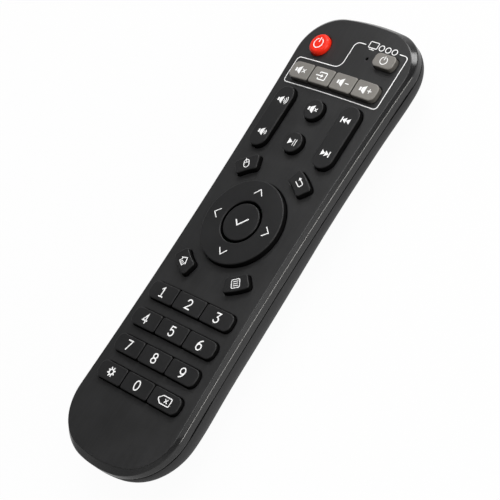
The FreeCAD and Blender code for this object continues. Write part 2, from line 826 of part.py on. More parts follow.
add_row_opening(openings, size.tv_row_y, size.tv_row_height)
for number in range(len(NUMBER_ROWS)):
    add_row_opening(openings, size.number_y - size.number_pitch * number, size.number_height)
for low, high in SECTORS.values():
    lean = gap / (size.sector_inner + size.sector_outer) * 2 * (180 / math.pi)
    add_sector(openings, size.sector_inner - gap, size.sector_outer + gap, low - lean, high + lean,
               size.sector_corner + gap)
pocket(upper, openings, size.face_z - size.ceiling_z + CUT_SPARE * 2)
bosses = new_sketch(upper, "bosses", z=boss_foot)
bores = new_sketch(upper, "boss_bores", z=boss_foot + size.pin_rise)
for y in PIN_PLACES:
    add_circle(bosses, None, y, size.boss_radius)
    add_circle(bores, None, y, size.pin_radius + size.fit_gap)
pad(upper, bosses, size.ceiling_z - boss_foot + size.fit_gap)
pocket(upper, bores, size.pin_rise + CUT_SPARE)
upper_notch = new_sketch(upper, "window_notch", z=size.window_high_z + size.fit_gap)
notch_half = size.window_half + size.fit_gap
notch_front = size.half_length + CUT_SPARE
add_box(upper_notch, -notch_half, notch_half, size.window_back_y, notch_front)
pocket(upper, upper_notch, size.window_high_z + size.fit_gap - upper_rim + CUT_SPARE)


# Back shell form: elliptical sides run from the rim down to a flat strip on the back
def smooth(value, start, end):
    """Soft step from 0 at start to 1 at end."""
    share = min(1.0, max(0.0, (value - start) / (end - start)))
    return share * share * (3 - 2 * share)


def arc_points(centre, radius, start, end, steps):
    turns = [math.radians(start + (end - start) * number / steps) for number in range(steps)]
    return [vector(centre.x + radius * math.cos(turn), centre.y + radius * math.sin(turn)) for turn in turns]


def right_outline(inset):
    """Points down the right half of the outline, from the top tip to the bottom tip."""
    shape = outline_sizes(as_size(inset), as_size(inset), as_size(inset))
    top, bottom = outline_places(shape)
    top_end, side, top_corner, top_meet, top_side = top
    bottom_end, side, bottom_corner, bottom_meet, bottom_side = bottom
    points = arc_points(top_end, shape.top_radius.value, 90, heading(top_end, top_meet), OUTLINE_STEPS)
    points += arc_points(top_corner, shape.top_corner.value, heading(top_corner, top_meet),
                         heading(top_corner, top_side), CORNER_STEPS)
    points += arc_points(side, shape.side_radius.value, heading(side, top_side),
                         heading(side, bottom_side) + 360, SIDE_STEPS)
    points += arc_points(bottom_corner, shape.bottom_corner.value, heading(bottom_corner, bottom_side),
                         heading(bottom_corner, bottom_meet), CORNER_STEPS)
    points += arc_points(bottom_end, shape.bottom_radius.value, heading(bottom_end, bottom_meet), -90,
                         OUTLINE_STEPS)
    points.append(vector(0, shape.bottom_y.value))
    return points


def flat_share(y):
    """Half width of the flat strip as a share of the half width of the case."""
    belly = smooth(y, size.belly_start_y.value, size.belly_full_y.value)
    upper_half = size.flat_half_upper.value
    return (upper_half + (size.flat_half_belly.value - upper_half) * belly) / size.half_waist.value


def flat_outline():
    """Edge of the flat strip, point for point under the outline."""
    middle = (size.flat_top_y.value + size.flat_bottom_y.value) / 2
    stretch = (size.flat_top_y.value - size.flat_bottom_y.value) / 2 / size.half_length.value
    edge = [(point.x, middle + point.y * stretch) for point in right_outline(0)]
    return [vector(x * flat_share(y), y) for x, y in edge]


def spline_through(points, places, start_pull, end_pull):
    curve = Part.BSplineCurve()
    curve.interpolate(Points=points, Parameters=places, Scale=False,
                      InitialTangent=vector(start_pull, 0), FinalTangent=vector(-end_pull, 0))
    return curve


def hull_shape(inset):
    """Solid under the rim, every skin moved inward by the inset."""
    rim_points = right_outline(inset)
    flat_points = flat_outline()
    places = [0.0]
    for before, after in zip(rim_points, rim_points[1:]):
        places.append(places[-1] + (after - before).Length)
    rim_curve = spline_through(rim_points, places, 1.0, 1.0)
    flat_curve = spline_through(flat_points, places, flat_share(flat_points[0].y),
                                flat_share(flat_points[-1].y))
    floor = vector(0, 0, inset)
    lift = vector(0, 0, size.rim_z.value)
    poles = [[outer + lift, outer + floor, inner + floor]
             for outer, inner in zip(rim_curve.getPoles(), flat_curve.getPoles())]
    weights = [[1.0, math.sqrt(0.5), 1.0] for row in poles]
    skin = Part.BSplineSurface()
    skin.buildFromPolesMultsKnots(poles, rim_curve.getMultiplicities(), [3, 3], rim_curve.getKnots(),
                                  [0.0, 1.0], False, False, 3, 2, weights)
    right = skin.toShape()
    middle_plane = (vector(0, 0), vector(1, 0))
    left = right.mirror(*middle_plane)
    rim_edge = skin.vIso(0.0).toShape()
    flat_edge = skin.vIso(1.0).toShape()
    lid = Part.Face(Part.Wire([rim_edge, rim_edge.mirror(*middle_plane)]))
    base = Part.Face(Part.Wire([flat_edge, flat_edge.mirror(*middle_plane)]))
    shell = Part.makeShell([right, left, lid, base])
    shell.sewShape()
    solid = Part.makeSolid(shell)
    if solid.Volume < 0:
        solid.reverse()
    return solid


def new_hull(name, inset):
    form = doc.addObject("Part::Feature", name)
    form.Shape = hull_shape(inset)
    form.Placement = FreeCAD.Placement()
    return form


# Boolean helpers
def block(name, left, right, front, back, low, high):
    box = doc.addObject("Part::Box", name)
    spans = (("Length", left, right, "x"), ("Width", front, back, "y"), ("Height", low, high, "z"))
    for side, start, end, axis in spans:
        box.setExpression(side, (as_size(end) - start).text)
        box.setExpression("Placement.Base." + axis, as_size(start).text)
    return box


def rod(name, x, y, low, high, radius):
    cylinder = doc.addObject("Part::Cylinder", name)
    cylinder.setExpression("Radius", radius.text)
    cylinder.setExpression("Height", (as_size(high) - low).text)
    for axis, start in (("x", x), ("y", y), ("z", low)):
        cylinder.setExpression("Placement.Base." + axis, as_size(start).text)
    return cylinder


def cut(name, base, tool):
    result = doc.addObject("Part::Cut", name)
    result.Base = base
    result.Tool = tool
    return result


def common(name, base, tool):
    result = doc.addObject("Part::Common", name)
    result.Base = base
    result.Tool = tool
    return result


def fuse(name, shapes):
    result = doc.addObject("Part::MultiFuse", name)
    result.Shapes = shapes
    return result


def node(item, label):
    item.Label = label
    nodes.append(item)
    return item


# Lower case
hull_outer = new_hull("hull_outer", 0.0)
hull_wall = new_hull("hull_wall", size.wall.value)
hull_lining_out = new_hull("hull_lining_out", size.lining_out.value)
hull_lining_in = new_hull("hull_lining_in", size.lining_in.value)
hull_door = new_hull("hull_door", size.door_thick.value)
beyond = size.half_length + CUT_SPARE
below = as_size(-CUT_SPARE)
shell = cut("shell", hull_outer, hull_wall)
door_hole = block("door_hole", -(size.door_half + size.door_gap), size.door_half + size.door_gap,
                  -beyond, size.door_top_y + size.door_gap, below, size.door_edge_z + size.door_gap)
open_shell = cut("open_shell", shell, door_hole)
bay_outer = size.bay_half + size.bay_wall
lining_zone = block("lining_zone", -bay_outer, bay_outer, -beyond, size.bay_top_y + size.bay_wall,
                    below, size.lining_top_z)
lining = cut("lining", lining_zone, hull_lining_in)
bay = block("bay", -bay_outer, bay_outer, size.bay_bottom_y - size.bay_wall, size.bay_top_y + size.bay_wall,
            below, size.bay_ceiling_z + size.bay_ceiling)
supports = [bay, lining]
for number, y in enumerate(PIN_PLACES):
    supports.append(rod("post_%d" % number, 0, y, below, size.board_z, size.post_radius))
for name, x in (("left", -size.rib_x), ("right", size.rib_x)):
    supports.append(block("top_rib_" + name, x - size.rib_half, x + size.rib_half,
                          size.bay_top_y, size.bay_top_y + size.rib_reach_top, below, size.rib_top_z))
    supports.append(block("bottom_rib_" + name, x - size.rib_half, x + size.rib_half,
                          size.bay_bottom_y - size.rib_reach_bottom, size.bay_bottom_y,
                          below, size.rib_top_z))
inner_parts = common("inner_parts", fuse("supports", supports), hull_lining_out)
pins = [rod("pin_%d" % number, 0, y, size.board_z - CUT_SPARE, boss_foot + size.pin_rise - size.fit_gap,
            size.pin_radius) for number, y in enumerate(PIN_PLACES)]

tongue = doc.addObject("PartDesign::Body", "tongue")
tongue_outer = new_sketch(tongue, "tongue_outer", z=size.rim_z - size.tongue_rise)
add_outline(tongue_outer, size.rabbet + size.fit_gap)
pad(tongue, tongue_outer, size.tongue_rise * 2)
tongue_inner = new_sketch(tongue, "tongue_inner", z=tongue_top)
add_outline(tongue_inner, size.rabbet + size.fit_gap + size.tongue_thick)
pocket(tongue, tongue_inner, size.tongue_rise * 2)

bay_hollow = block("bay_hollow", -size.bay_half, size.bay_half, size.bay_bottom_y, size.bay_top_y,
                   below, size.bay_ceiling_z)
lower_notch = block("lower_notch", -notch_half, notch_half, size.window_back_y, notch_front,
                    size.window_low_z - size.fit_gap, size.window_high_z)
cutters = [bay_hollow, lower_notch]
tail_half = size.tail_half + size.tail_slot_gap
for name, x in (("left", -size.cell_x), ("right", size.cell_x)):
    cutters.append(block("tail_slot_" + name, x - tail_half, x + tail_half,
                         size.bay_top_y - size.sheet_metal - size.tail_slot_gap, size.bay_top_y,
                         size.bay_ceiling_z - CUT_SPARE, size.board_z))
for name, inner, outer in (("left", -(size.door_half + size.door_gap), -size.slot_inner_x),
                           ("right", size.slot_inner_x, size.door_half + size.door_gap)):
    cutters.append(block("door_slot_" + name, inner, outer, -beyond, size.tab_tip_y + size.door_gap,
                         size.slot_low_z, size.slot_high_z))
bay_cutters = fuse("lower_cutters", cutters)
lower_solid = fuse("lower_solid", [open_shell, inner_parts, tongue] + pins)
node(cut("lower_case", lower_solid, bay_cutters), "lower_case")

# Battery door
door_skin = cut("door_skin", hull_outer, hull_door)
door_zone = block("door_zone", -size.door_half, size.door_half, -beyond, size.door_top_y,
                  below, size.door_edge_z)
door_parts = [common("door_plate", door_skin, door_zone)]
for name, inner, outer in (("left", -size.tab_outer_x, -size.tab_inner_x),
                           ("right", size.tab_inner_x, size.tab_outer_x)):
    door_parts.append(block("tab_riser_" + name, inner, outer, size.tab_root_y, size.door_top_y,
                            size.door_thick, size.tab_high_z))
    door_parts.append(block("tab_" + name, inner, outer, size.tab_root_y, size.tab_tip_y,
                            size.tab_low_z, size.tab_high_z))
grips = []
for number in range(GRIP_RIBS):
    low_y = size.grip_y - size.grip_pitch * number
    grips.append(block("grip_%d" % number, -size.grip_half_length, size.grip_half_length,
                       low_y, low_y + size.grip_width, below, size.grip_depth))
node(cut("battery_door", fuse("door_solid", door_parts), fuse("grips", grips)), "battery_door")

# Infra-red window
window_band = doc.addObject("PartDesign::Body", "window_band")
window_outer = new_sketch(window_band, "window_outer", z=size.window_low_z)
add_outline(window_outer, size.window_set)
pad(window_band, window_outer, size.window_high_z - size.window_low_z)
window_inner = new_sketch(window_band, "window_inner", z=size.window_high_z)
add_outline(window_inner, size.window_set + size.window_thick)
pocket(window_band, window_inner, size.window_high_z - size.window_low_z)
window_zone = block("window_zone", -size.window_half, size.window_half, size.window_back_y, beyond,
                    below, size.face_z)
node(common("ir_window", window_band, window_zone), "ir_window")

# Circuit board
board = new_body("circuit_board")
board_plate = new_sketch(board, "board_plate", z=size.board_z)
add_panel(board_plate, -size.board_half, size.board_half, size.board_bottom_y, size.board_top_y,
          size.board_corner, size.board_corner)
pad(board, board_plate, size.board_thick)
board_holes = new_sketch(board, "board_holes", z=board_top)
for y in BOARD_PINS:
    add_circle(board_holes, None, y, size.pin_radius + size.fit_gap * 1.5)
for side in (-1, 1):
    lead_x = size.lead_spread * side
    lead_room = size.lead_half + size.fit_gap
    add_box(board_holes, lead_x - lead_room, lead_x + lead_room, size.lead_back_y - size.fit_gap,
            size.board_top_y + CUT_SPARE)
pocket(board, board_holes, size.board_thick)

# Keypad mat under the flanges of the keys
mat = new_body("keypad_mat")
mat_plate = new_sketch(mat, "mat_plate", z=board_top)
inset = size.mat_inset
add_panel(mat_plate, inset - size.board_half, size.board_half - inset, size.board_bottom_y + inset,
          size.board_top_y - inset, size.board_corner - inset, size.board_corner - inset)
pad(mat, mat_plate, size.mat_thick)
mat_holes = new_sketch(mat, "mat_holes", z=mat_top)
for y in BOARD_PINS:
    add_circle(mat_holes, None, y, size.boss_radius + size.mat_hole_gap)
add_circle(mat_holes, None, size.pad_y, size.skirt_radius + size.mat_hole_gap)
add_circle(mat_holes, size.lamp_x, size.lamp_y, size.lamp_base_radius + size.mat_hole_gap)
pocket(mat, mat_holes, size.mat_thick)

# Indicator lamp under its pinhole
lamp = new_body("indicator_led")
lamp_base = new_sketch(lamp, "lamp_base", z=board_top)
add_circle(lamp_base, size.lamp_x, size.lamp_y, size.lamp_base_radius)
pad(lamp, lamp_base, size.mat_thick)
lamp_lens = new_sketch(lamp, "lamp_lens", z=mat_top)
add_circle(lamp_lens, size.lamp_x, size.lamp_y, size.lamp_radius)
lens = pad(lamp, lamp_lens, size.lamp_top_z - mat_top)
round_edges(lamp, lens, [top_face(lens)], size.lamp_radius * 0.7)

# Infra-red lamp lying in the top end, leads in the slots of the board
led = new_body("ir_led")
led_section = new_sketch(led, "led_section", z=size.led_z)
led_barrel_y = size.led_front_y - size.led_radius
add_polygon(led_section, [
    (None, size.led_back_y),
    (size.led_collar_radius, size.led_back_y),
    (size.led_collar_radius, size.led_back_y + size.led_collar),
    (size.led_radius, size.led_back_y + size.led_collar),
    (size.led_radius, size.led_front_y),
    (None, size.led_front_y),
])
barrel = revolve(led, led_section)
doc.recompute()
front_faces = [number for number, face in enumerate(barrel.Shape.Faces, 1)
               if face.CenterOfMass.y > size.led_front_y.value - size.fit_gap.value]
round_edges(led, barrel, ["Face%d" % front_faces[0]], size.led_radius * 0.9)
leads = new_sketch(led, "led_leads", z=size.led_z - size.lead_half)
for side in (-1, 1):
    lead_x = size.lead_spread * side
    add_box(leads, lead_x - size.lead_half, lead_x + size.lead_half, size.lead_back_y,
            size.led_back_y + size.led_collar / 2)
pad(led, leads, size.lead_half * 2)


# Cells
def make_cell(label, x, nub_y, way):
    """Cell whose nub ends at nub_y and whose can runs back along -way."""
    body = new_body(label)
    section = new_sketch(body, label + "_section", x=x, z=size.cell_z)
    shoulder_y = nub_y - size.nub_length * way
    back_y = shoulder_y - size.cell_length * way
    add_polygon(section, [
        (None, nub_y),
        (size.nub_radius, nub_y),
        (size.nub_radius, shoulder_y),
        (size.cell_radius, shoulder_y),
        (size.cell_radius, back_y),
        (None, back_y),
    ])
    revolve(body, section)
    return back_y


plate_top_y = size.bay_top_y - size.sheet_metal
plate_bottom_y = size.bay_bottom_y + size.sheet_metal
left_back_y = make_cell("left_battery", -size.cell_x, plate_top_y - size.dimple_rise, 1)
right_back_y = make_cell("right_battery", size.cell_x, plate_bottom_y + size.dimple_rise, -1)


# Contacts: pressed plates with a dimple or a coil
def dimple(name, x, y, way):
    cone = doc.addObject("Part::Cone", name)
    cone.setExpression("Radius1", size.dimple_radius.text)
    cone.setExpression("Radius2", (size.dimple_radius / 2).text)
    cone.setExpression("Height", size.dimple_rise.text)
    cone.Placement = FreeCAD.Placement(vector(0, 0), FreeCAD.Rotation(vector(1, 0), -90 * way))
    for axis, start in (("x", x), ("y", y), ("z", size.cell_z)):
        cone.setExpression("Placement.Base." + axis, start.text)
    return cone


def top_plate(name, x, extras):
    plate = block(name + "_sheet", x - size.contact_half, x + size.contact_half, plate_top_y, size.bay_top_y,
                  size.contact_low_z, size.contact_high_z)
    tail = block(name + "_tail", x - size.tail_half, x + size.tail_half, plate_top_y, size.bay_top_y,
                 size.contact_high_z - CUT_SPARE, size.board_z)
    return node(fuse(name, [plate, tail] + extras), name)


top_plate("positive_plate", -size.cell_x, [dimple("positive_dimple", -size.cell_x, plate_top_y, -1)])
top_plate("negative_plate", size.cell_x, [])
bridge_sheet = block("bridge_sheet", -(size.cell_x + size.contact_half), size.cell_x + size.contact_half,
                     size.bay_bottom_y, plate_bottom_y, size.contact_low_z, size.contact_high_z)
bridge_dimple = dimple("bridge_dimple", size.cell_x, plate_bottom_y, 1)
node(fuse("bridge_plate", [bridge_sheet, bridge_dimple]), "bridge_plate")


def arc_between(start, pull, end):
    """Arc that leaves start along the unit vector pull and reaches end."""
    chord = end - start
    along = chord * (1 / chord.Length)
    side = pull - along * pull.dot(along)
    swing = math.acos(max(-1.0, min(1.0, pull.dot(along))))
    middle = (start + end) * 0.5 + side.normalize() * (chord.Length / 2 * math.tan(swing / 2))
    return Part.Arc(start, middle, end)


def biarc(start, start_pull, end, end_pull):
    """Two arcs that share a tangent where they meet."""
    span = end - start
    pull = start_pull + end_pull
    a = pull.dot(pull) - 4
    b = -2 * span.dot(pull)
    c = span.dot(span)
    reach = (-b - math.sqrt(b * b - 4 * a * c)) / (2 * a)
    if reach < 0:
        reach = (-b + math.sqrt(b * b - 4 * a * c)) / (2 * a)
    first = start + start_pull * reach
    second = end - end_pull * reach
    meet = (first + second) * 0.5
    meet_pull = (second - first).normalize()
    return [arc_between(start, start_pull, meet), arc_between(meet, meet_pull, end)]


def coil_shape(x, start_y, way):
    """Helix of wire along Y, from the plate toward the cell."""
    radius = size.coil_radius.value
    wire = size.coil_wire.value
    turns = size.coil_turns.value
    rise = size.coil_length.value - 2 * wire
    halves = int(round(turns * 2))

    def helix(share):
        angle = 2 * math.pi * turns * share
        point = vector(x + radius * math.cos(angle), start_y + way * (wire + rise * share),
                       size.cell_z.value + radius * math.sin(angle))
        pull = vector(-radius * math.sin(angle), way * rise / (2 * math.pi * turns),
                      radius * math.cos(angle))
        return point, pull.normalize()

    arcs = []
    for number in range(halves):
        start, start_pull = helix(number / halves)
        end, end_pull = helix((number + 1) / halves)
        arcs += biarc(start, start_pull, end, end_pull)
    path = Part.Wire([arc.toShape() for arc in arcs])
    start, start_pull = helix(0)
    ring_wire = Part.Wire([Part.Circle(start, start_pull, wire).toShape()])
    steps = halves * GAP_STEPS
    samples = [helix(number / steps)[0] for number in range(steps + 1)]
    gaps = [(samples[i] - samples[j]).Length for i in range(steps + 1)
            for j in range(i + GAP_STEPS, steps + 1)]
    print("least gap between the coil's turns: %.2f mm" % (min(gaps) - 2 * wire))
    return path.makePipeShell([ring_wire], True, False)


def make_coil(label, x, start_y, way):
    coil = doc.addObject("Part::Feature", label)
    coil.Shape = coil_shape(x.value, start_y.value, way)
    coil.Placement = FreeCAD.Placement()
    return node(coil, label)


make_coil("negative_coil", size.cell_x, plate_top_y, -1)
make_coil("bridge_coil", -size.cell_x, plate_bottom_y, 1)

# Components that hang under the board
chip_low_z = size.board_z - size.chip_height
chip_parts = [block("chip_case", size.chip_length / -2, size.chip_length / 2,
                    size.chip_y - size.chip_width / 2, size.chip_y + size.chip_width / 2,
                    chip_low_z, size.board_z - size.fit_gap)]
for number in range(CHIP_PINS_A_SIDE):
    x = size.chip_pin_pitch * (number - (CHIP_PINS_A_SIDE - 1) / 2)
    for side, start, end in (("front", -size.chip_pin_reach, size.fit_gap),
                             ("back", -size.fit_gap, size.chip_pin_reach)):
        edge = size.chip_y + size.chip_width / 2 * (-1 if side == "front" else 1)
        chip_parts.append(block("chip_pin_%s_%d" % (side, number), x - size.chip_pin_half,
                                x + size.chip_pin_half, edge + start, edge + end,
                                size.board_z - size.chip_pin_drop, size.board_z))
node(fuse("controller_chip", chip_parts), "controller_chip")

capacitor = new_body("capacitor")
can = new_sketch(capacitor, "capacitor_can", z=size.board_z - size.capacitor_height)
add_circle(can, size.capacitor_x, size.capacitor_y, size.capacitor_radius)
can_pad = pad(capacitor, can, size.capacitor_height)
doc.recompute()
round_edges(capacitor, can_pad, ["Face%d" % number for number, face in enumerate(can_pad.Shape.Faces, 1)
                                 if face.CenterOfMass.z < size.board_z.value - size.capacitor_height.value
                                 + size.fit_gap.value], size.capacitor_round)

resonator_low_z = size.board_z - size.resonator_height
resonator = new_body("resonator")
resonator_can = new_sketch(resonator, "resonator_can", z=resonator_low_z)
add_slot(resonator_can, size.resonator_x, size.resonator_y, size.resonator_half_width,
         size.resonator_half_length)
pad(resonator, resonator_can, size.resonator_height)

transistor_low_z = size.board_z - size.transistor_stand - size.transistor_height
round_part = rod("transistor_round", size.transistor_x, size.transistor_y, transistor_low_z,
                 size.board_z - size.transistor_stand, size.transistor_radius)
flat_side = block("transistor_side", size.transistor_x - size.transistor_radius * 2,
                  size.transistor_x + size.transistor_radius * 2,
                  size.transistor_y + size.transistor_flat, size.transistor_y + size.transistor_radius * 2,
                  below, size.board_z)
transistor_parts = [cut("transistor_case", round_part, flat_side)]
for number in (-1, 0, 1):
    x = size.transistor_x + size.lead_spread * number
    transistor_parts.append(block("transistor_leg_%d" % (number + 1), x - size.lead_half, x + size.lead_half,
                                  size.transistor_y - size.lead_half, size.transistor_y + size.lead_half,
                                  transistor_low_z + CUT_SPARE, size.board_z))
node(fuse("transistor", transistor_parts), "transistor")

# Checks and files
doc.recompute()
for item in doc.Objects:
    if "Invalid" in item.State or "Error" in item.State:
        raise RuntimeError("%s did not build: %s" % (item.Name, item.State))
    if item.TypeId == "PartDesign::Pocket" and item.Shape.Volume > item.BaseFeature.Shape.Volume - 0.01:
        raise RuntimeError("%s cuts nothing" % item.Name)
os.makedirs("parts", exist_ok=True)
for item in nodes:
    if item.Shape.isNull() or not item.Shape.isValid():
        raise RuntimeError("%s has no valid shape" % item.Label)
    item.Shape.exportStep("parts/%s.step" % item.Label)
    print(item.Label, len(item.Shape.Solids), round(item.Shape.Volume, 1))
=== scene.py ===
# Looks of a television box's remote control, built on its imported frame.
# Lengths are in metres in the scene; the drawing helpers work in millimetres.
import json
import math

import bpy
from mathutils import Matrix, Vector
from mathutils.bvhtree import BVHTree


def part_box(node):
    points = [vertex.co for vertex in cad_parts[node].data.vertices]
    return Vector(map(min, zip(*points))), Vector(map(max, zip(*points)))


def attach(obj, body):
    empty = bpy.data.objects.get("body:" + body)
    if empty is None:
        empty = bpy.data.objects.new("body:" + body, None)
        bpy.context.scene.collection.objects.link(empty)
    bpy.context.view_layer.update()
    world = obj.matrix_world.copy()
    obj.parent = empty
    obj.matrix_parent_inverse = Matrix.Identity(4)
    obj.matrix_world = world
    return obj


MM = 0.001

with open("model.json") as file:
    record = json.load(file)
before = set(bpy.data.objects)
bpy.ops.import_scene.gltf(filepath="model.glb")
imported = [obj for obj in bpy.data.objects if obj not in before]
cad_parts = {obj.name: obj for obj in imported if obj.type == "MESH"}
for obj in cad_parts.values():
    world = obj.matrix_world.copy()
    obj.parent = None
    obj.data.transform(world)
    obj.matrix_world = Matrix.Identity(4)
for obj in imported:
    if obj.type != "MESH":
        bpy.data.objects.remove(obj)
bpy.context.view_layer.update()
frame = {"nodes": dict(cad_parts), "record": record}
nodes = frame["nodes"]
bodies = frame["record"]["behaviour"]["bodies"]
body_of = {node: body for body, members in bodies.items() for node in members}

ROW_KEYS = ("tv_mute_key", "tv_source_key", "tv_volume_down_key", "tv_volume_up_key")
GREY_KEYS = ("tv_power_key",) + ROW_KEYS
DIGIT_KEYS = tuple("key_%d" % number for number in range(10))
RED_KEYS = ("power_key",)
BLACK_KEYS = DIGIT_KEYS + (
    "setup_key", "delete_key", "mute_key", "play_pause_key", "volume_rocker", "track_rocker",
    "mouse_key", "back_key", "home_key", "menu_key", "ok_key", "dpad_ring",
)

# Camera of the photograph
CAMERA_PLACE = Vector((369.29, -101.66, 417.74)) * MM
CAMERA_TARGET = Vector((8.70, -2.62, 20.0)) * MM
CAMERA_ROLL = -46.2
CAMERA_LENS = 117.39
SENSOR_WIDTH = 36.0

# Printed marks
PRINT_RISE = 0.03
PRINT_SINK = 0.03
STROKE_STEP = 0.003
LONG_STEP = 0.8
FRAME_LINE = 0.33

# Parting line of the case: its middle, and the painted shade on it that fades out between two distances
SEAM_Z = 14.67
SEAM_SHADE = 0.45
SEAM_CORE = 0.22
SEAM_FADE = 0.45

# How far a surface faces up: the walls of a key, darkened with painted shade, and the face of the case
# above its sloping border
WALL_START, WALL_END = 0.10, 0.55
# The painted shade on the black keys reaches up over their rounded top edges.
BLACK_WALL_END = 0.85
FACE_START, FACE_END = 0.90, 0.985
BORDER_ROUGHNESS = 0.16

# Rays that find the skin of the part start above and below it, in metres
RAY_ROOF = 0.04
RAY_FLOOR = -0.01


# Materials
def new_material(name):
    material = bpy.data.materials.new(name)
    material.use_nodes = True
    tree = material.node_tree
    return material, tree, tree.nodes["Principled BSDF"]


def add(tree, kind, **values):
    item = tree.nodes.new(kind)
    for key, value in values.items():
        setattr(item, key, value)
    return item


def noise(tree, source, period, detail=3.0, roughness=0.55):
    """Noise whose features are about one period across, in millimetres."""
    item = add(tree, "ShaderNodeTexNoise")
    item.inputs["Scale"].default_value = 1.0 / (period * MM)
    item.inputs["Detail"].default_value = detail
    item.inputs["Roughness"].default_value = roughness
    tree.links.new(source, item.inputs["Vector"])
    return item.outputs["Fac"]


def spread(tree, source, low, high, start=0.3, end=0.7):
    """Maps a factor to a span of numbers."""
    item = add(tree, "ShaderNodeMapRange")
    tree.links.new(source, item.inputs["Value"])
    for socket, value in (("From Min", start), ("From Max", end), ("To Min", low), ("To Max", high)):
        item.inputs[socket].default_value = value
    return item.outputs["Result"]


def blend_colours(tree, factor, first, second):
    """Colour between two colours or sockets."""
    item = add(tree, "ShaderNodeMix", data_type="RGBA")
    tree.links.new(factor, item.inputs["Factor"])
    for socket, value in ((item.inputs[6], first), (item.inputs[7], second)):
        if isinstance(value, (tuple, list)):
            socket.default_value = (*value[:3], 1.0)
        else:
            tree.links.new(value, socket)
    return item.outputs[2]


def blend_numbers(tree, factor, first, second):
    item = add(tree, "ShaderNodeMix", data_type="FLOAT")
    tree.links.new(factor, item.inputs["Factor"])
    for socket, value in ((item.inputs[2], first), (item.inputs[3], second)):
        if isinstance(value, float):
            socket.default_value = value
        else:
            tree.links.new(value, socket)
    return item.outputs[0]


def shade(colour, factor):
    return tuple(min(1.0, channel * factor) for channel in colour)


def moulded(name, colour, roughness, grain=0.35, depth=0.012, contrast=0.16, specular=0.5, edge=0.0):
    """Moulded plastic or rubber: fine spark-eroded grain, slow shifts of tone and of gloss, and rounded
    edges in the shading when edge is given.
    """
    material, tree, shader = new_material(name)
    place = add(tree, "ShaderNodeTexCoord").outputs["Object"]
    fine = noise(tree, place, grain, detail=2.0)
    slow = noise(tree, place, 14.0, detail=4.0)
    tone = blend_colours(tree, spread(tree, slow, 0.0, 1.0), shade(colour, 1 - contrast),
                         shade(colour, 1 + contrast))
    speck = blend_colours(tree, spread(tree, fine, 0.0, 0.35), tone, shade(colour, 1.6))
    tree.links.new(speck, shader.inputs["Base Color"])
    gloss = add(tree, "ShaderNodeMath", operation="ADD")
    tree.links.new(spread(tree, slow, roughness - 0.04, roughness + 0.03), gloss.inputs[0])
    tree.links.new(spread(tree, fine, -0.02, 0.04), gloss.inputs[1])
    tree.links.new(gloss.outputs[0], shader.inputs["Roughness"])
    bump = add(tree, "ShaderNodeBump")
    bump.inputs["Strength"].default_value = 0.5
    bump.inputs["Distance"].default_value = depth * MM
    tree.links.new(fine, bump.inputs["Height"])
    tree.links.new(bump.outputs["Normal"], shader.inputs["Normal"])
    if edge:
        soft = add(tree, "ShaderNodeBevel", samples=8)
        soft.inputs["Radius"].default_value = edge * MM
        tree.links.new(soft.outputs["Normal"], bump.inputs["Normal"])
    shader.inputs["Specular IOR Level"].default_value = specular
    return material, tree, shader


def darken(tree, shader, level):
    """Scales colour and gloss together: painted shade in a gap or on a key wall, or a streak of tone on
    the face.
    """
    colour, gloss = shader.inputs["Base Color"], shader.inputs["Specular IOR Level"]
    dim = add(tree, "ShaderNodeVectorMath", operation="SCALE")
    tree.links.new(colour.links[0].from_socket, dim.inputs[0])
    tree.links.new(level, dim.inputs["Scale"])
    tree.links.new(dim.outputs[0], colour)
    dull = add(tree, "ShaderNodeMath", operation="MULTIPLY")
    dull.inputs[1].default_value = gloss.default_value
    tree.links.new(level, dull.inputs[0])
    tree.links.new(dull.outputs[0], gloss)


def facing_up(tree):
    """How far the surface faces up, from 0 on a wall to 1 on a level face."""
    upright = add(tree, "ShaderNodeSeparateXYZ")
    tree.links.new(add(tree, "ShaderNodeNewGeometry").outputs["Normal"], upright.inputs[0])
    return upright.outputs["Z"]


def paint_wall_shade(tree, shader, share, end=WALL_END):
    """Painted shade: the steep walls of a key are darkened in colour and gloss, as they stand in the shade
    of its opening.
    """
    darken(tree, shader, spread(tree, facing_up(tree), share, 1.0, start=WALL_START, end=end))


def paint_seam_shade(tree, shader):
    """Painted shade: both halves of the case are darkened in colour and gloss along the line where they
    part.
    """
    axes = add(tree, "ShaderNodeSeparateXYZ")
    tree.links.new(add(tree, "ShaderNodeTexCoord").outputs["Object"], axes.inputs[0])
    away = add(tree, "ShaderNodeMath", operation="SUBTRACT")
    away.inputs[1].default_value = SEAM_Z * MM
    tree.links.new(axes.outputs["Z"], away.inputs[0])
    distance = add(tree, "ShaderNodeMath", operation="ABSOLUTE")
    tree.links.new(away.outputs[0], distance.inputs[0])
    darken(tree, shader, spread(tree, distance.outputs[0], SEAM_SHADE, 1.0, start=SEAM_CORE * MM,
                                end=SEAM_FADE * MM))


def face_plastic():
    """Upper case: matt crowned face with faint wiping marks along it, polished sloping border."""
    material, tree, shader = moulded("face_plastic", (0.0128, 0.0128, 0.0133), 0.5, specular=0.5, edge=0.6)
    stretch = add(tree, "ShaderNodeMapping")
    stretch.inputs["Scale"].default_value = (1.0, 0.07, 1.0)
    tree.links.new(add(tree, "ShaderNodeTexCoord").outputs["Object"], stretch.inputs["Vector"])
    darken(tree, shader, spread(tree, noise(tree, stretch.outputs[0], 0.9, detail=4.0), 0.84, 1.12))
    # Painted shade along the parting line.
    paint_seam_shade(tree, shader)
    is_face = spread(tree, facing_up(tree), 0.0, 1.0, start=FACE_START, end=FACE_END)
    matt = shader.inputs["Roughness"].links[0].from_socket
    tree.links.new(blend_numbers(tree, is_face, BORDER_ROUGHNESS, matt), shader.inputs["Roughness"])
    return material


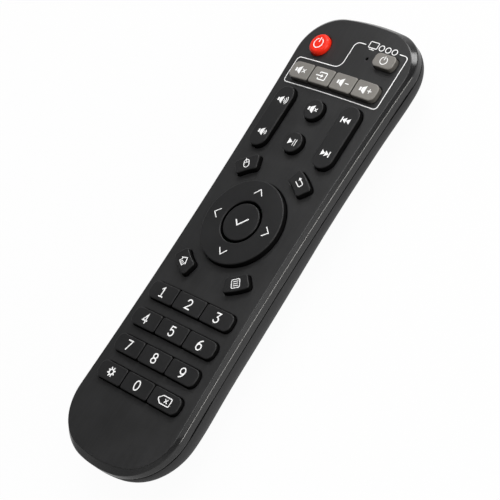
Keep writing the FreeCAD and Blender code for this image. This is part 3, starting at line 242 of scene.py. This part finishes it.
def back_plastic():
    """Lower case and door: a coarser grain that hides wear."""
    material, tree, shader = moulded("back_plastic", (0.018, 0.018, 0.019), 0.5, grain=0.5, depth=0.02,
                                     specular=0.25)
    # Painted shade along the parting line.
    paint_seam_shade(tree, shader)
    return material


def black_rubber():
    material, tree, shader = moulded("black_rubber", (0.0115, 0.0115, 0.012), 0.5, grain=0.25, depth=0.006,
                                     specular=0.3)
    # Painted shade: the walls and rounded top edges of the black keys are darkened in colour and gloss.
    paint_wall_shade(tree, shader, 0.2, end=BLACK_WALL_END)
    return material


def grey_rubber():
    material, tree, shader = moulded("grey_rubber", (0.174, 0.165, 0.151), 0.5, grain=0.25, depth=0.006,
                                     contrast=0.06)
    # Painted shade: the walls of the grey keys are darkened in colour and gloss.
    paint_wall_shade(tree, shader, 0.42)
    return material


def red_rubber():
    return moulded("red_rubber", (0.80, 0.020, 0.006), 0.4, grain=0.25, depth=0.006, contrast=0.06,
                   specular=0.25)[0]


def mat_rubber():
    return moulded("mat_rubber", (0.20, 0.20, 0.21), 0.6, grain=0.4)[0]


def component_black():
    return moulded("component_black", (0.018, 0.018, 0.019), 0.55, grain=0.15, depth=0.01)[0]


def window_plastic():
    """Infra-red window: polished, nearly black, with a wine-red depth."""
    material, tree, shader = moulded("window_plastic", (0.018, 0.006, 0.009), 0.12, grain=1.2, depth=0.002,
                                     contrast=0.3)
    shader.inputs["Coat Weight"].default_value = 0.6
    shader.inputs["Coat Roughness"].default_value = 0.05
    return material


def lens_plastic():
    material, tree, shader = moulded("lens_plastic", (0.55, 0.56, 0.66), 0.1, grain=0.8, depth=0.002,
                                     contrast=0.05)
    shader.inputs["Transmission Weight"].default_value = 0.6
    return material


def print_ink():
    """White pad-printed ink with the slight unevenness of a printed film."""
    return moulded("print_ink", (0.88, 0.88, 0.88), 0.45, grain=0.2, depth=0.004, contrast=0.04)[0]


def plated_metal(name, colour, roughness, brushed_along):
    """Sheet or drawn metal with fine lines along one axis."""
    material, tree, shader = new_material(name)
    place = add(tree, "ShaderNodeTexCoord").outputs["Object"]
    stretch = add(tree, "ShaderNodeMapping")
    stretch.inputs["Scale"].default_value = [0.04 if axis == brushed_along else 1.0 for axis in "xyz"]
    tree.links.new(place, stretch.inputs["Vector"])
    lines = noise(tree, stretch.outputs["Vector"], 0.12, detail=2.0)
    cloud = noise(tree, place, 4.0)
    tone = blend_colours(tree, spread(tree, cloud, 0.0, 1.0), shade(colour, 0.9), shade(colour, 1.05))
    tree.links.new(tone, shader.inputs["Base Color"])
    tree.links.new(spread(tree, lines, roughness - 0.06, roughness + 0.1), shader.inputs["Roughness"])
    bump = add(tree, "ShaderNodeBump")
    bump.inputs["Strength"].default_value = 0.3
    bump.inputs["Distance"].default_value = 0.01 * MM
    tree.links.new(lines, bump.inputs["Height"])
    tree.links.new(bump.outputs["Normal"], shader.inputs["Normal"])
    shader.inputs["Metallic"].default_value = 1.0
    return material


def circuit_board():
    """Solder mask over copper tracks."""
    material, tree, shader = moulded("circuit_board", (0.012, 0.10, 0.035), 0.32, grain=0.6, depth=0.004)
    place = add(tree, "ShaderNodeTexCoord").outputs["Object"]
    base = shader.inputs["Base Color"].links[0].from_socket
    cells = add(tree, "ShaderNodeTexVoronoi", distance="MANHATTAN", feature="DISTANCE_TO_EDGE")
    cells.inputs["Scale"].default_value = 1.0 / (5.0 * MM)
    tree.links.new(place, cells.inputs["Vector"])
    track = spread(tree, cells.outputs["Distance"], 1.0, 0.0, start=0.04, end=0.07)
    tree.links.new(blend_colours(tree, track, base, (0.04, 0.20, 0.07)), shader.inputs["Base Color"])
    return material


def cell_wrap(name, way):
    """Battery sleeve: dark wrap, a band of warm metal at the nub end and bare steel at both ends."""
    material, tree, shader = new_material(name)
    low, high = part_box(name)
    place = add(tree, "ShaderNodeTexCoord").outputs["Object"]
    axes = add(tree, "ShaderNodeSeparateXYZ")
    tree.links.new(place, axes.inputs[0])
    start, end = (low.y, high.y) if way > 0 else (high.y, low.y)
    share = spread(tree, axes.outputs["Y"], 0.0, 1.0, start=start, end=end)
    ramp = add(tree, "ShaderNodeValToRGB")
    ramp.color_ramp.interpolation = "CONSTANT"
    steel, wrap, band = (0.60, 0.60, 0.61, 1), (0.03, 0.035, 0.06, 1), (0.62, 0.36, 0.14, 1)
    ramp.color_ramp.elements[0].color = steel
    ramp.color_ramp.elements[1].position = 0.015
    ramp.color_ramp.elements[1].color = wrap
    for position, colour in ((0.70, band), (0.955, steel)):
        ramp.color_ramp.elements.new(position).color = colour
    tree.links.new(share, ramp.inputs["Fac"])
    cloud = noise(tree, place, 3.0)
    tone = blend_colours(tree, spread(tree, cloud, 0.0, 0.12), ramp.outputs["Color"], (1.0, 1.0, 1.0))
    tree.links.new(tone, shader.inputs["Base Color"])
    tree.links.new(spread(tree, cloud, 0.22, 0.34), shader.inputs["Roughness"])
    shader.inputs["Metallic"].default_value = 0.8
    return material


def dress(names, material):
    for name in names:
        mesh = nodes[name].data
        mesh.materials.clear()
        mesh.materials.append(material)
        for face in mesh.polygons:
            face.material_index = 0


dress(["upper_case"], face_plastic())
dress(["lower_case", "battery_door"], back_plastic())
dress(BLACK_KEYS, black_rubber())
dress(GREY_KEYS, grey_rubber())
dress(RED_KEYS, red_rubber())
dress(["keypad_mat"], mat_rubber())
dress(["controller_chip", "transistor", "capacitor", "dpad_skirt"], component_black())
dress(["ir_window"], window_plastic())
dress(["ir_led", "indicator_led"], lens_plastic())
dress(["circuit_board"], circuit_board())
dress(["left_battery"], cell_wrap("left_battery", 1))
dress(["right_battery"], cell_wrap("right_battery", -1))
dress(["positive_plate", "negative_plate", "bridge_plate", "negative_coil", "bridge_coil"],
      plated_metal("nickel_plate", (0.72, 0.71, 0.68), 0.22, "z"))
dress(["resonator"], plated_metal("drawn_can", (0.75, 0.75, 0.76), 0.3, "z"))
INK = print_ink()


# Flat drawing
# A shape is (points, faces): flat points in millimetres and faces as runs of point numbers.
def run_arc(cx, cy, rx, ry, start, end, steps=None):
    """Points along an arc of an ellipse, angles in degrees."""
    steps = steps or max(4, int(abs(end - start) / 12))
    turns = [math.radians(start + (end - start) * number / steps) for number in range(steps + 1)]
    return [(cx + rx * math.cos(turn), cy + ry * math.sin(turn)) for turn in turns]


def rounded_run(corners, radii):
    """Open run of straight lines whose inner corners are arcs of the given radii."""
    run = [corners[0]]
    for number in range(1, len(corners) - 1):
        before, corner, after = (Vector(corners[number + step]) for step in (-1, 0, 1))
        inward, outward = (before - corner).normalized(), (after - corner).normalized()
        half = math.acos(max(-1.0, min(1.0, inward.dot(outward)))) / 2
        radius = radii[number - 1]
        start = corner + inward * radius / math.tan(half)
        end = corner + outward * radius / math.tan(half)
        centre = corner + (inward + outward).normalized() * radius / math.sin(half)
        first = math.atan2(start.y - centre.y, start.x - centre.x)
        swing = math.atan2(end.y - centre.y, end.x - centre.x) - first
        swing = (swing + math.pi) % (2 * math.pi) - math.pi
        for step in range(9):
            turn = first + swing * step / 8
            run.append((centre.x + radius * math.cos(turn), centre.y + radius * math.sin(turn)))
    run.append(corners[-1])
    return run


def divide(run, longest):
    """The same run with no step longer than the given length."""
    out = [run[0]]
    for before, after in zip(run, run[1:]):
        count = max(1, math.ceil(math.dist(before, after) / longest))
        for number in range(1, count + 1):
            share = number / count
            out.append((before[0] + (after[0] - before[0]) * share,
                        before[1] + (after[1] - before[1]) * share))
    return out


def stroke(run, width, closed=False, longest=LONG_STEP):
    """Line of even width with round ends."""
    clean = [run[0]]
    for point in run[1:]:
        if math.dist(point, clean[-1]) > 1e-6:
            clean.append(point)
    if closed and math.dist(clean[0], clean[-1]) < 1e-6:
        clean.pop()
    run = divide(clean + ([clean[0]] if closed else []), longest)
    if closed:
        run.pop()
    half, count = width / 2, len(run)
    points = []
    for number, point in enumerate(run):
        here = Vector(point)
        before = Vector(run[number - 1]) if number or closed else here
        after = Vector(run[(number + 1) % count]) if number + 1 < count or closed else here
        first, second = here - before, after - here
        first = first.normalized() if first.length > 0 else second.normalized()
        second = second.normalized() if second.length > 0 else first
        lean = (first + second).normalized()
        side = Vector((-lean.y, lean.x))
        reach = half / max(0.5, lean.dot(first))
        points += [tuple(here + side * reach), tuple(here - side * reach)]
    faces = [(2 * n, 2 * n + 1, 2 * n + 3, 2 * n + 2) for n in range(count - 1)]
    if closed:
        faces.append((2 * count - 2, 2 * count - 1, 1, 0))
        return points, faces
    for end, next_in in ((0, 1), (count - 1, count - 2)):
        out = (Vector(run[end]) - Vector(run[next_in])).normalized()
        base = math.degrees(math.atan2(out.y, out.x))
        arc = run_arc(run[end][0], run[end][1], half, half, base - 90, base + 90, 8)[1:-1]
        first = len(points)
        points += arc
        around = range(first, first + len(arc))
        faces.append((1, 0, *reversed(around)) if end == 0 else (2 * end, 2 * end + 1, *around))
    return points, faces


def filled(run):
    return list(run), [tuple(range(len(run)))]


def moved(shape, dx=0.0, dy=0.0, scale=1.0, turn=0.0):
    points, faces = shape
    cos, sin = math.cos(math.radians(turn)) * scale, math.sin(math.radians(turn)) * scale
    return [(x * cos - y * sin + dx, x * sin + y * cos + dy) for x, y in points], faces


def all_moved(shapes, **change):
    return [moved(shape, **change) for shape in shapes]


# Draping on the part
surfaces = {}


def surface(node):
    if node not in surfaces:
        mesh = nodes[node].data
        surfaces[node] = BVHTree.FromPolygons([vertex.co for vertex in mesh.vertices],
                                              [face.vertices for face in mesh.polygons])
    return surfaces[node]


def drape(node, x, y, from_below=False):
    """Height of a CAD node's outer skin over a place, in millimetres."""
    start = Vector((x * MM, y * MM, RAY_FLOOR if from_below else RAY_ROOF))
    hit = surface(node).ray_cast(start, Vector((0, 0, 1.0 if from_below else -1.0)))[0]
    return None if hit is None else hit.z / MM


def print_on(name, node, shapes, x=0.0, y=0.0, scale=1.0, turn=0.0, below=False, rise=PRINT_RISE,
             material=None):
    """Thin film of ink that follows the skin of a CAD node and rides on its body."""
    vertices, faces = [], []
    way = -1.0 if below else 1.0
    for number, shape in enumerate(shapes):
        points, flat_faces = moved(shape, x, y, scale, turn)
        first, count = len(vertices), len(points)
        heights = [drape(node, px, py, below) for px, py in points]
        known = [height for height in heights if height is not None]
        spare = sum(known) / len(known)
        heights = [spare if height is None else height for height in heights]
        top = rise + STROKE_STEP * number
        for offset in (top, -PRINT_SINK):
            vertices += [(px * MM, py * MM, (height + way * offset) * MM)
                         for (px, py), height in zip(points, heights)]
        edges = {}
        for face in flat_faces:
            area = sum(points[a][0] * points[b][1] - points[b][0] * points[a][1]
                       for a, b in zip(face, face[1:] + face[:1]))
            if area * way < 0:
                face = face[::-1]
            faces.append([first + index for index in face])
            faces.append([first + count + index for index in reversed(face)])
            for a, b in zip(face, face[1:] + face[:1]):
                edges[(a, b)] = edges.get((a, b), 0) + 1
        for a, b in edges:
            if (b, a) not in edges:
                faces.append([first + b, first + a, first + count + a, first + count + b])
    mesh = bpy.data.meshes.new(name)
    mesh.from_pydata(vertices, [], faces)
    mesh.update()
    mesh.materials.append(material or INK)
    piece = bpy.data.objects.new(name, mesh)
    bpy.context.scene.collection.objects.link(piece)
    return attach(piece, body_of[node])


def middle(node):
    low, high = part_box(node)
    centre = (low + high) / 2 / MM
    return centre.x, centre.y


# Digits
DIGIT_WIDTH = 2.18
DIGIT_HEIGHT = 3.45
DIGIT_STROKE = 0.46

DIGIT_RUNS = {
    0: [run_arc(0, 0, 0.5, 0.5, 90, 450, 36)],
    1: [[(-0.34, 0.30), (0.04, 0.5), (0.04, -0.5)], [(-0.36, -0.5), (0.44, -0.5)]],
    2: [run_arc(0, 0.2, 0.46, 0.3, 165, -38, 16) + [(-0.48, -0.5), (0.5, -0.5)]],
    3: [[(-0.42, 0.5), (0.40, 0.5), (-0.02, 0.08)] + run_arc(-0.02, -0.21, 0.48, 0.29, 85, -155, 20)],
    4: [[(0.2, -0.5), (0.2, 0.5), (-0.5, -0.2), (0.5, -0.2)]],
    5: [[(0.4, 0.5), (-0.34, 0.5), (-0.4, 0.06)] + run_arc(-0.02, -0.17, 0.48, 0.33, 138, -150, 22)],
    6: [run_arc(0, -0.19, 0.47, 0.31, 0, 360, 30), run_arc(0.36, -0.17, 0.83, 0.67, 98, 180, 12)],
    7: [[(-0.48, 0.5), (0.48, 0.5), (-0.12, -0.5)]],
    8: [run_arc(0, 0.26, 0.40, 0.24, 0, 360, 28), run_arc(0, -0.24, 0.47, 0.26, 0, 360, 30)],
    9: [run_arc(0, 0.19, 0.47, 0.31, 0, 360, 30), run_arc(-0.36, 0.17, 0.83, 0.67, -82, 0, 12)],
}


def digit(number):
    shapes = []
    for run in DIGIT_RUNS[number]:
        sized = [(x * DIGIT_WIDTH, y * DIGIT_HEIGHT) for x, y in run]
        shapes.append(stroke(sized, DIGIT_STROKE, closed=math.dist(sized[0], sized[-1]) < 1e-6))
    return shapes


# Pictograms
def power_mark(radius, width):
    return [stroke(run_arc(0, 0, radius, radius, 118, 422, 30), width),
            stroke([(0, radius * 0.22), (0, radius * 1.16)], width)]


def speaker(height):
    """Speaker that opens to the right, its cone's mouth at the origin."""
    h = height / 2
    magnet = filled([(-1.6 * h, 0.42 * h), (-1.6 * h, -0.42 * h), (-1.13 * h, -0.42 * h),
                     (-1.13 * h, 0.42 * h)])
    cone = filled([(-0.97 * h, 0.42 * h), (-0.97 * h, -0.42 * h), (0, -h), (0, h)])
    return [magnet, cone]


def waves(count, first, step, width):
    return [stroke(run_arc(-0.2, 0, first + step * n, first + step * n, -42, 42, 8), width)
            for n in range(count)]


def cross(size, width):
    return [stroke([(-size, -size), (size, size)], width), stroke([(-size, size), (size, -size)], width)]


def plus(size, width):
    return [stroke([(-size, 0), (size, 0)], width), stroke([(0, -size), (0, size)], width)]


def minus(size, width):
    return [stroke([(-size, 0), (size, 0)], width)]


def triangle(width, height):
    """Triangle that points to the right, its base at the origin."""
    return [filled([(0, -height / 2), (width, 0), (0, height / 2)])]


def bar(width, height):
    return [filled([(-width / 2, -height / 2), (width / 2, -height / 2), (width / 2, height / 2),
                    (-width / 2, height / 2)])]


def skip_mark(way):
    """Two triangles and a bar; way is 1 for onward and -1 for back."""
    shapes = (triangle(1.85, 2.5) + all_moved(triangle(1.85, 2.5), dx=1.85)
              + all_moved(bar(0.45, 2.6), dx=3.92))
    shapes = all_moved(shapes, dx=-1.85, scale=0.88)
    return shapes if way > 0 else all_moved(shapes, turn=180)


def play_mark():
    return (all_moved(triangle(1.9, 2.3), dx=-1.7) + all_moved(bar(0.27, 2.6), dx=0.75)
            + all_moved(bar(0.27, 2.6), dx=1.65))


def rounded_box(width, height, corner, line):
    w, h = width / 2, height / 2
    run = rounded_run([(0, h), (w, h), (w, -h), (-w, -h), (-w, h), (0, h)], [corner] * 4)
    return [stroke(run, line, closed=True)]


def mouse_mark():
    body = rounded_box(2.1, 3.1, 1.02, 0.3)
    return body + [stroke([(-1.0, 0.35), (1.0, 0.35)], 0.26), stroke([(0, 0.35), (0, 1.5)], 0.26),
                   stroke([(0, 1.6), (-0.25, 2.05)], 0.28)]


def back_mark():
    """Open hook with an arrowhead on its upper leg."""
    hook = rounded_run([(-1.15, 0.85), (1.35, 0.85), (1.35, -0.85), (-1.35, -0.85)], [0.5, 0.5])
    head = filled([(-2.0, 0.85), (-0.95, 1.55), (-0.95, 0.15)])
    return [stroke(hook, 0.3), head]


def home_mark():
    roof = [(-1.75, -0.1), (0, 1.5), (1.75, -0.1)]
    walls = [(-1.2, 0.1), (-1.2, -1.45), (1.2, -1.45), (1.2, 0.1)]
    door = [(-0.4, -1.4), (-0.4, -0.45), (0.4, -0.45), (0.4, -1.4)]
    return [stroke(roof, 0.36), stroke(walls, 0.32), stroke(door, 0.28)]


def menu_mark():
    lines = [stroke([(-0.9, y), (0.9, y)], 0.26) for y in (-0.8, 0.0, 0.8)]
    return rounded_box(3.1, 3.2, 0.45, 0.28) + lines


def gear_mark():
    """Ring with eight teeth."""
    teeth = []
    for number in range(8):
        turn = math.radians(45 * number + 22.5)
        teeth.append(stroke([(1.15 * math.cos(turn), 1.15 * math.sin(turn)),
                             (1.6 * math.cos(turn), 1.6 * math.sin(turn))], 0.55))
    return [stroke(run_arc(0, 0, 0.95, 0.95, 0, 360, 30), 0.5, closed=True)] + teeth


def delete_mark():
    """Tag that points to the left, with a cross in it."""
    run = rounded_run([(0, 1.45), (2.75, 1.45), (2.75, -1.45), (-1.35, -1.45), (-2.95, 0), (-1.35, 1.45),
                       (0, 1.45)], [0.4, 0.4, 0.4, 0.25, 0.4])
    return [stroke(run, 0.36, closed=True)] + all_moved(cross(0.6, 0.34), dx=0.75)


def source_mark():
    """Frame open at the left, with an arrow that goes in."""
    run = rounded_run([(-1.2, 1.0), (-1.2, 1.45), (2.1, 1.45), (2.1, -1.45), (-1.2, -1.45), (-1.2, -1.0)],
                      [0.3, 0.35, 0.35, 0.3])
    return [stroke(run, 0.4), stroke([(-2.4, 0), (0.2, 0)], 0.42),
            filled([(0.95, 0), (-0.15, 0.75), (-0.15, -0.75)])]


def chevron():
    """Chevron that points up, its tip at the origin."""
    return [stroke([(-1.75, -2.1), (0, 0), (1.75, -2.1)], 0.35)]


def tick_mark():
    return [stroke([(-2.3, 0.1), (-0.7, -1.5), (2.4, 1.7)], 0.5)]


def screen_mark():
    """Television set on its foot."""
    return rounded_box(3.8, 2.4, 0.35, 0.3) + [stroke([(-1.0, -1.85), (1.0, -1.85)], 0.3),
                                               stroke([(0, -1.2), (0, -1.85)], 0.3)]


def push_mark():
    """Three round keys side by side."""
    return [stroke(run_arc(x, 0, 1.05, 1.05, 0, 360, 30), 0.3, closed=True) for x in (-2.9, 0.0, 2.9)]


# Printed keys
for number in range(10):
    x, y = middle("key_%d" % number)
    print_on("digit_%d" % number, "key_%d" % number, digit(number), x, y)

MUTED = all_moved(speaker(3.2), dx=0.4) + all_moved(cross(0.52, 0.29), dx=1.4)
GREY_SPEAKER = all_moved(speaker(3.3), dx=0.1)
KEY_MARKS = {
    "power_key": power_mark(1.94, 0.36),
    "tv_power_key": power_mark(1.42, 0.31),
    "tv_mute_key": GREY_SPEAKER + all_moved(cross(0.66, 0.33), dx=1.6),
    "tv_source_key": source_mark(),
    "tv_volume_down_key": GREY_SPEAKER + all_moved(minus(0.66, 0.34), dx=1.85),
    "tv_volume_up_key": GREY_SPEAKER + all_moved(plus(0.72, 0.34), dx=1.85),
    "mute_key": MUTED,
    "play_pause_key": play_mark(),
    "setup_key": gear_mark(),
    "delete_key": delete_mark(),
    "ok_key": tick_mark(),
}
for node, shapes in KEY_MARKS.items():
    x, y = middle(node)
    print_on(node.replace("_key", "") + "_mark", node, shapes, x, y)

ROCKER_MARK_REACH = 6.75
left_x, rocker_y = middle("volume_rocker")
right_x, rocker_y = middle("track_rocker")
loud = all_moved(speaker(3.0), dx=0.6) + all_moved(waves(3, 0.75, 0.72, 0.3), dx=0.9)
soft = all_moved(speaker(3.1), dx=1.1) + all_moved(waves(2, 0.6, 0.66, 0.3), dx=1.3)
print_on("louder_mark", "volume_rocker", loud, left_x, rocker_y + ROCKER_MARK_REACH)
print_on("softer_mark", "volume_rocker", soft, left_x, rocker_y - ROCKER_MARK_REACH)
print_on("track_back_mark", "track_rocker", skip_mark(-1), right_x - 0.3, rocker_y + ROCKER_MARK_REACH)
print_on("track_onward_mark", "track_rocker", skip_mark(1), right_x, rocker_y - ROCKER_MARK_REACH)

# Direction ring and the four keys round it
PAD_X, PAD_Y = middle("dpad_ring")
CHEVRON_REACH = 13.2
CORNER_REACH = 23.95
CORNER_ANGLE = 57.5
for name, turn in (("up", 0), ("left", 90), ("down", 180), ("right", 270)):
    angle = math.radians(turn + 90)
    print_on("chevron_" + name, "dpad_ring", chevron(), PAD_X + CHEVRON_REACH * math.cos(angle),
             PAD_Y + CHEVRON_REACH * math.sin(angle), turn=turn)
for node, angle, turn, shapes in (
    ("mouse_key", 180 - CORNER_ANGLE, 90 - CORNER_ANGLE, mouse_mark()),
    ("back_key", CORNER_ANGLE, CORNER_ANGLE - 90, back_mark()),
    ("home_key", 180 + CORNER_ANGLE, CORNER_ANGLE - 90, home_mark()),
    ("menu_key", -CORNER_ANGLE, 90 - CORNER_ANGLE, menu_mark()),
):
    place = math.radians(angle)
    print_on(node.replace("_key", "") + "_mark", node, shapes, PAD_X + CORNER_REACH * math.cos(place),
             PAD_Y + CORNER_REACH * math.sin(place), turn=turn)

# Line that frames the television keys, with a gap at the heading
LINE_LEFT, LINE_RIGHT = -22.2, 22.0
LINE_LOW, LINE_STEP, LINE_HIGH = 59.3, 69.9, 81.2
STEP_X, GAP_LEFT, GAP_RIGHT = -1.6, 2.8, 18.2
frame_run = rounded_run(
    [(GAP_LEFT, LINE_HIGH), (STEP_X, LINE_HIGH), (STEP_X, LINE_STEP), (LINE_LEFT, LINE_STEP),
     (LINE_LEFT, LINE_LOW), (LINE_RIGHT, LINE_LOW), (LINE_RIGHT, LINE_HIGH), (GAP_RIGHT, LINE_HIGH)],
    [2.0, 2.9, 1.5, 1.5, 1.5, 1.5])
print_on("television_line", "upper_case", [stroke(frame_run, FRAME_LINE)])
print_on("television_heading", "upper_case",
         all_moved(screen_mark(), dx=-4.3) + all_moved(push_mark(), dx=2.4, dy=-0.3),
         (GAP_LEFT + GAP_RIGHT) / 2, LINE_HIGH + 0.5)

# Battery door: arrow for the way it slides
door_low, door_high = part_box("battery_door")
ARROW_FROM_TOP = 19.0
ARROW_RISE = 0.12
arrow = [stroke([(0, 3.2), (0, -2.4)], 0.9), stroke([(-2.2, -0.6), (0, -3.0), (2.2, -0.6)], 0.9)]
print_on("door_arrow", "battery_door", arrow, 0.0, door_high.y / MM - ARROW_FROM_TOP, below=True,
         rise=ARROW_RISE, material=nodes["battery_door"].data.materials[0])


# Camera and stage
def aim(item, target, roll=0.0):
    way = (target - item.location).to_track_quat("-Z", "Y")
    item.rotation_euler = (way.to_matrix() @ Matrix.Rotation(math.radians(roll), 3, "Z")).to_euler()


camera_data = bpy.data.cameras.new("photo_camera")
camera_data.sensor_width = SENSOR_WIDTH
camera_data.lens = CAMERA_LENS
camera_data.clip_start = 0.01
camera = bpy.data.objects.new("photo_camera", camera_data)
bpy.context.scene.collection.objects.link(camera)
camera.location = CAMERA_PLACE
aim(camera, CAMERA_TARGET, CAMERA_ROLL)
bpy.context.scene.camera = camera


def add_light(name, place, target, width, height, power, colour=(1.0, 1.0, 1.0)):
    data = bpy.data.lights.new(name, "AREA")
    data.shape = "RECTANGLE"
    data.size = width
    data.size_y = height
    data.energy = power
    data.color = colour
    light = bpy.data.objects.new(name, data)
    bpy.context.scene.collection.objects.link(light)
    light.location = place
    aim(light, target)


def at(azimuth, height, distance):
    """Place on a dome round the part, angles in degrees and distance in metres."""
    turn, rise = math.radians(azimuth), math.radians(height)
    way = Vector((math.cos(rise) * math.cos(turn), math.cos(rise) * math.sin(turn), math.sin(rise)))
    return way * distance


CENTRE = Vector((0, 0, 0.01))
add_light("key_softbox", at(107, 40, 1.31), CENTRE, 0.8, 0.5, 9.0)
add_light("top_softbox", at(60, 76, 1.25), CENTRE, 0.6, 0.6, 4.6)
add_light("side_strip", at(11, 12, 1.1), CENTRE, 0.6, 0.30, 8.0, (1.0, 0.98, 0.94))
add_light("side_softbox", at(11, 44, 1.1), CENTRE, 0.20, 0.30, 0.25)
add_light("corner_softbox", at(77, 30, 1.2), CENTRE, 0.34, 0.30, 3.0)

# Light of the world on matt surfaces, and its share on the side near the bottom end of the handset
WORLD_LIGHT = 0.36
DIM_SHARE = 0.62
DIM_START, DIM_END = -0.7, 0.4

# Brightness of the studio in gloss: from the horizon to the ceiling, and low down at the near side
HORIZON_GLOSS = 1.0
CEILING_GLOSS = 0.04
CEILING_RISE = 0.45
NEAR_GLOSS = 0.6
NEAR_START, NEAR_END = -0.75, -0.57

# Floor: its paper, its brightness in gloss past and before the bottom end, and how much of it glows
FLOOR_HALF = 3.0
FLOOR_DROP = 0.0002
FLOOR_COLOUR = (0.72, 0.72, 0.72)
FLOOR_GLOSS = 0.72
NEAR_FLOOR_GLOSS = 0.3
FLOOR_GLOSS_START, FLOOR_GLOSS_END = -0.12, -0.07
FLOOR_SEEN_GLOW = 0.96
FLOOR_MIRRORED_GLOW = 0.8


def ray_kinds(tree):
    """Factors for rays from the camera, and for rays that metal, gloss or glass sends on."""
    rays = add(tree, "ShaderNodeLightPath")
    mirrored = add(tree, "ShaderNodeMath", operation="MAXIMUM")
    tree.links.new(rays.outputs["Is Glossy Ray"], mirrored.inputs[0])
    tree.links.new(rays.outputs["Is Transmission Ray"], mirrored.inputs[1])
    return rays.outputs["Is Camera Ray"], mirrored.outputs[0]


def stage_material(name, colour):
    """White that the camera sees as background and that still takes a soft shadow."""
    material, tree, shader = new_material(name)
    output = tree.nodes["Material Output"]
    place = add(tree, "ShaderNodeTexCoord").outputs["Object"]
    paper = noise(tree, place, 3.0)
    tree.links.new(blend_colours(tree, spread(tree, paper, 0.0, 1.0), colour, shade(colour, 1.02)),
                   shader.inputs["Base Color"])
    shader.inputs["Roughness"].default_value = 0.9
    shader.inputs["Specular IOR Level"].default_value = 0.1
    glow = add(tree, "ShaderNodeEmission")
    axes = add(tree, "ShaderNodeSeparateXYZ")
    tree.links.new(place, axes.inputs[0])
    sheen = spread(tree, axes.outputs["Y"], NEAR_FLOOR_GLOSS, FLOOR_GLOSS, start=FLOOR_GLOSS_START,
                   end=FLOOR_GLOSS_END)
    seen, mirrored = ray_kinds(tree)
    tree.links.new(blend_numbers(tree, seen, sheen, 1.0), glow.inputs["Strength"])
    unseen_share = blend_numbers(tree, mirrored, 0.0, FLOOR_MIRRORED_GLOW)
    amount = blend_numbers(tree, seen, unseen_share, FLOOR_SEEN_GLOW)
    mix = add(tree, "ShaderNodeMixShader")
    tree.links.new(amount, mix.inputs["Fac"])
    tree.links.new(shader.outputs[0], mix.inputs[1])
    tree.links.new(glow.outputs[0], mix.inputs[2])
    tree.links.new(mix.outputs[0], output.inputs["Surface"])
    return material


def add_floor():
    half = FLOOR_HALF
    corners = [(-half, -half, 0), (half, -half, 0), (half, half, 0), (-half, half, 0)]
    mesh = bpy.data.meshes.new("floor")
    mesh.from_pydata(corners, [], [(0, 1, 2, 3)])
    mesh.materials.append(stage_material("floor_paper", FLOOR_COLOUR))
    floor = bpy.data.objects.new("floor", mesh)
    bpy.context.scene.collection.objects.link(floor)
    floor.location.z = -FLOOR_DROP


def set_world():
    """Plain light; gloss sees a studio that is bright near the horizon and dimmer overhead."""
    world = bpy.data.worlds.new("studio")
    bpy.context.scene.world = world
    world.use_nodes = True
    tree = world.node_tree
    light = tree.nodes["Background"]
    light.inputs["Color"].default_value = (1.0, 1.0, 1.0, 1.0)
    way = add(tree, "ShaderNodeSeparateXYZ")
    tree.links.new(add(tree, "ShaderNodeTexCoord").outputs["Generated"], way.inputs[0])
    studio = spread(tree, way.outputs["Z"], HORIZON_GLOSS, CEILING_GLOSS, start=0.0, end=CEILING_RISE)
    is_near = spread(tree, way.outputs["Y"], 1.0, 0.0, start=NEAR_START, end=NEAR_END)
    studio = blend_numbers(tree, is_near, studio, NEAR_GLOSS)
    seen, mirrored = ray_kinds(tree)
    dimming = spread(tree, way.outputs["Y"], DIM_SHARE, 1.0, start=DIM_START, end=DIM_END)
    unseen = add(tree, "ShaderNodeMath", operation="MULTIPLY")
    tree.links.new(blend_numbers(tree, mirrored, WORLD_LIGHT, studio), unseen.inputs[0])
    tree.links.new(dimming, unseen.inputs[1])
    strength = blend_numbers(tree, seen, unseen.outputs[0], 1.0)
    tree.links.new(strength, light.inputs["Strength"])


add_floor()
set_world()
bpy.context.scene.view_settings.view_transform = "Standard"
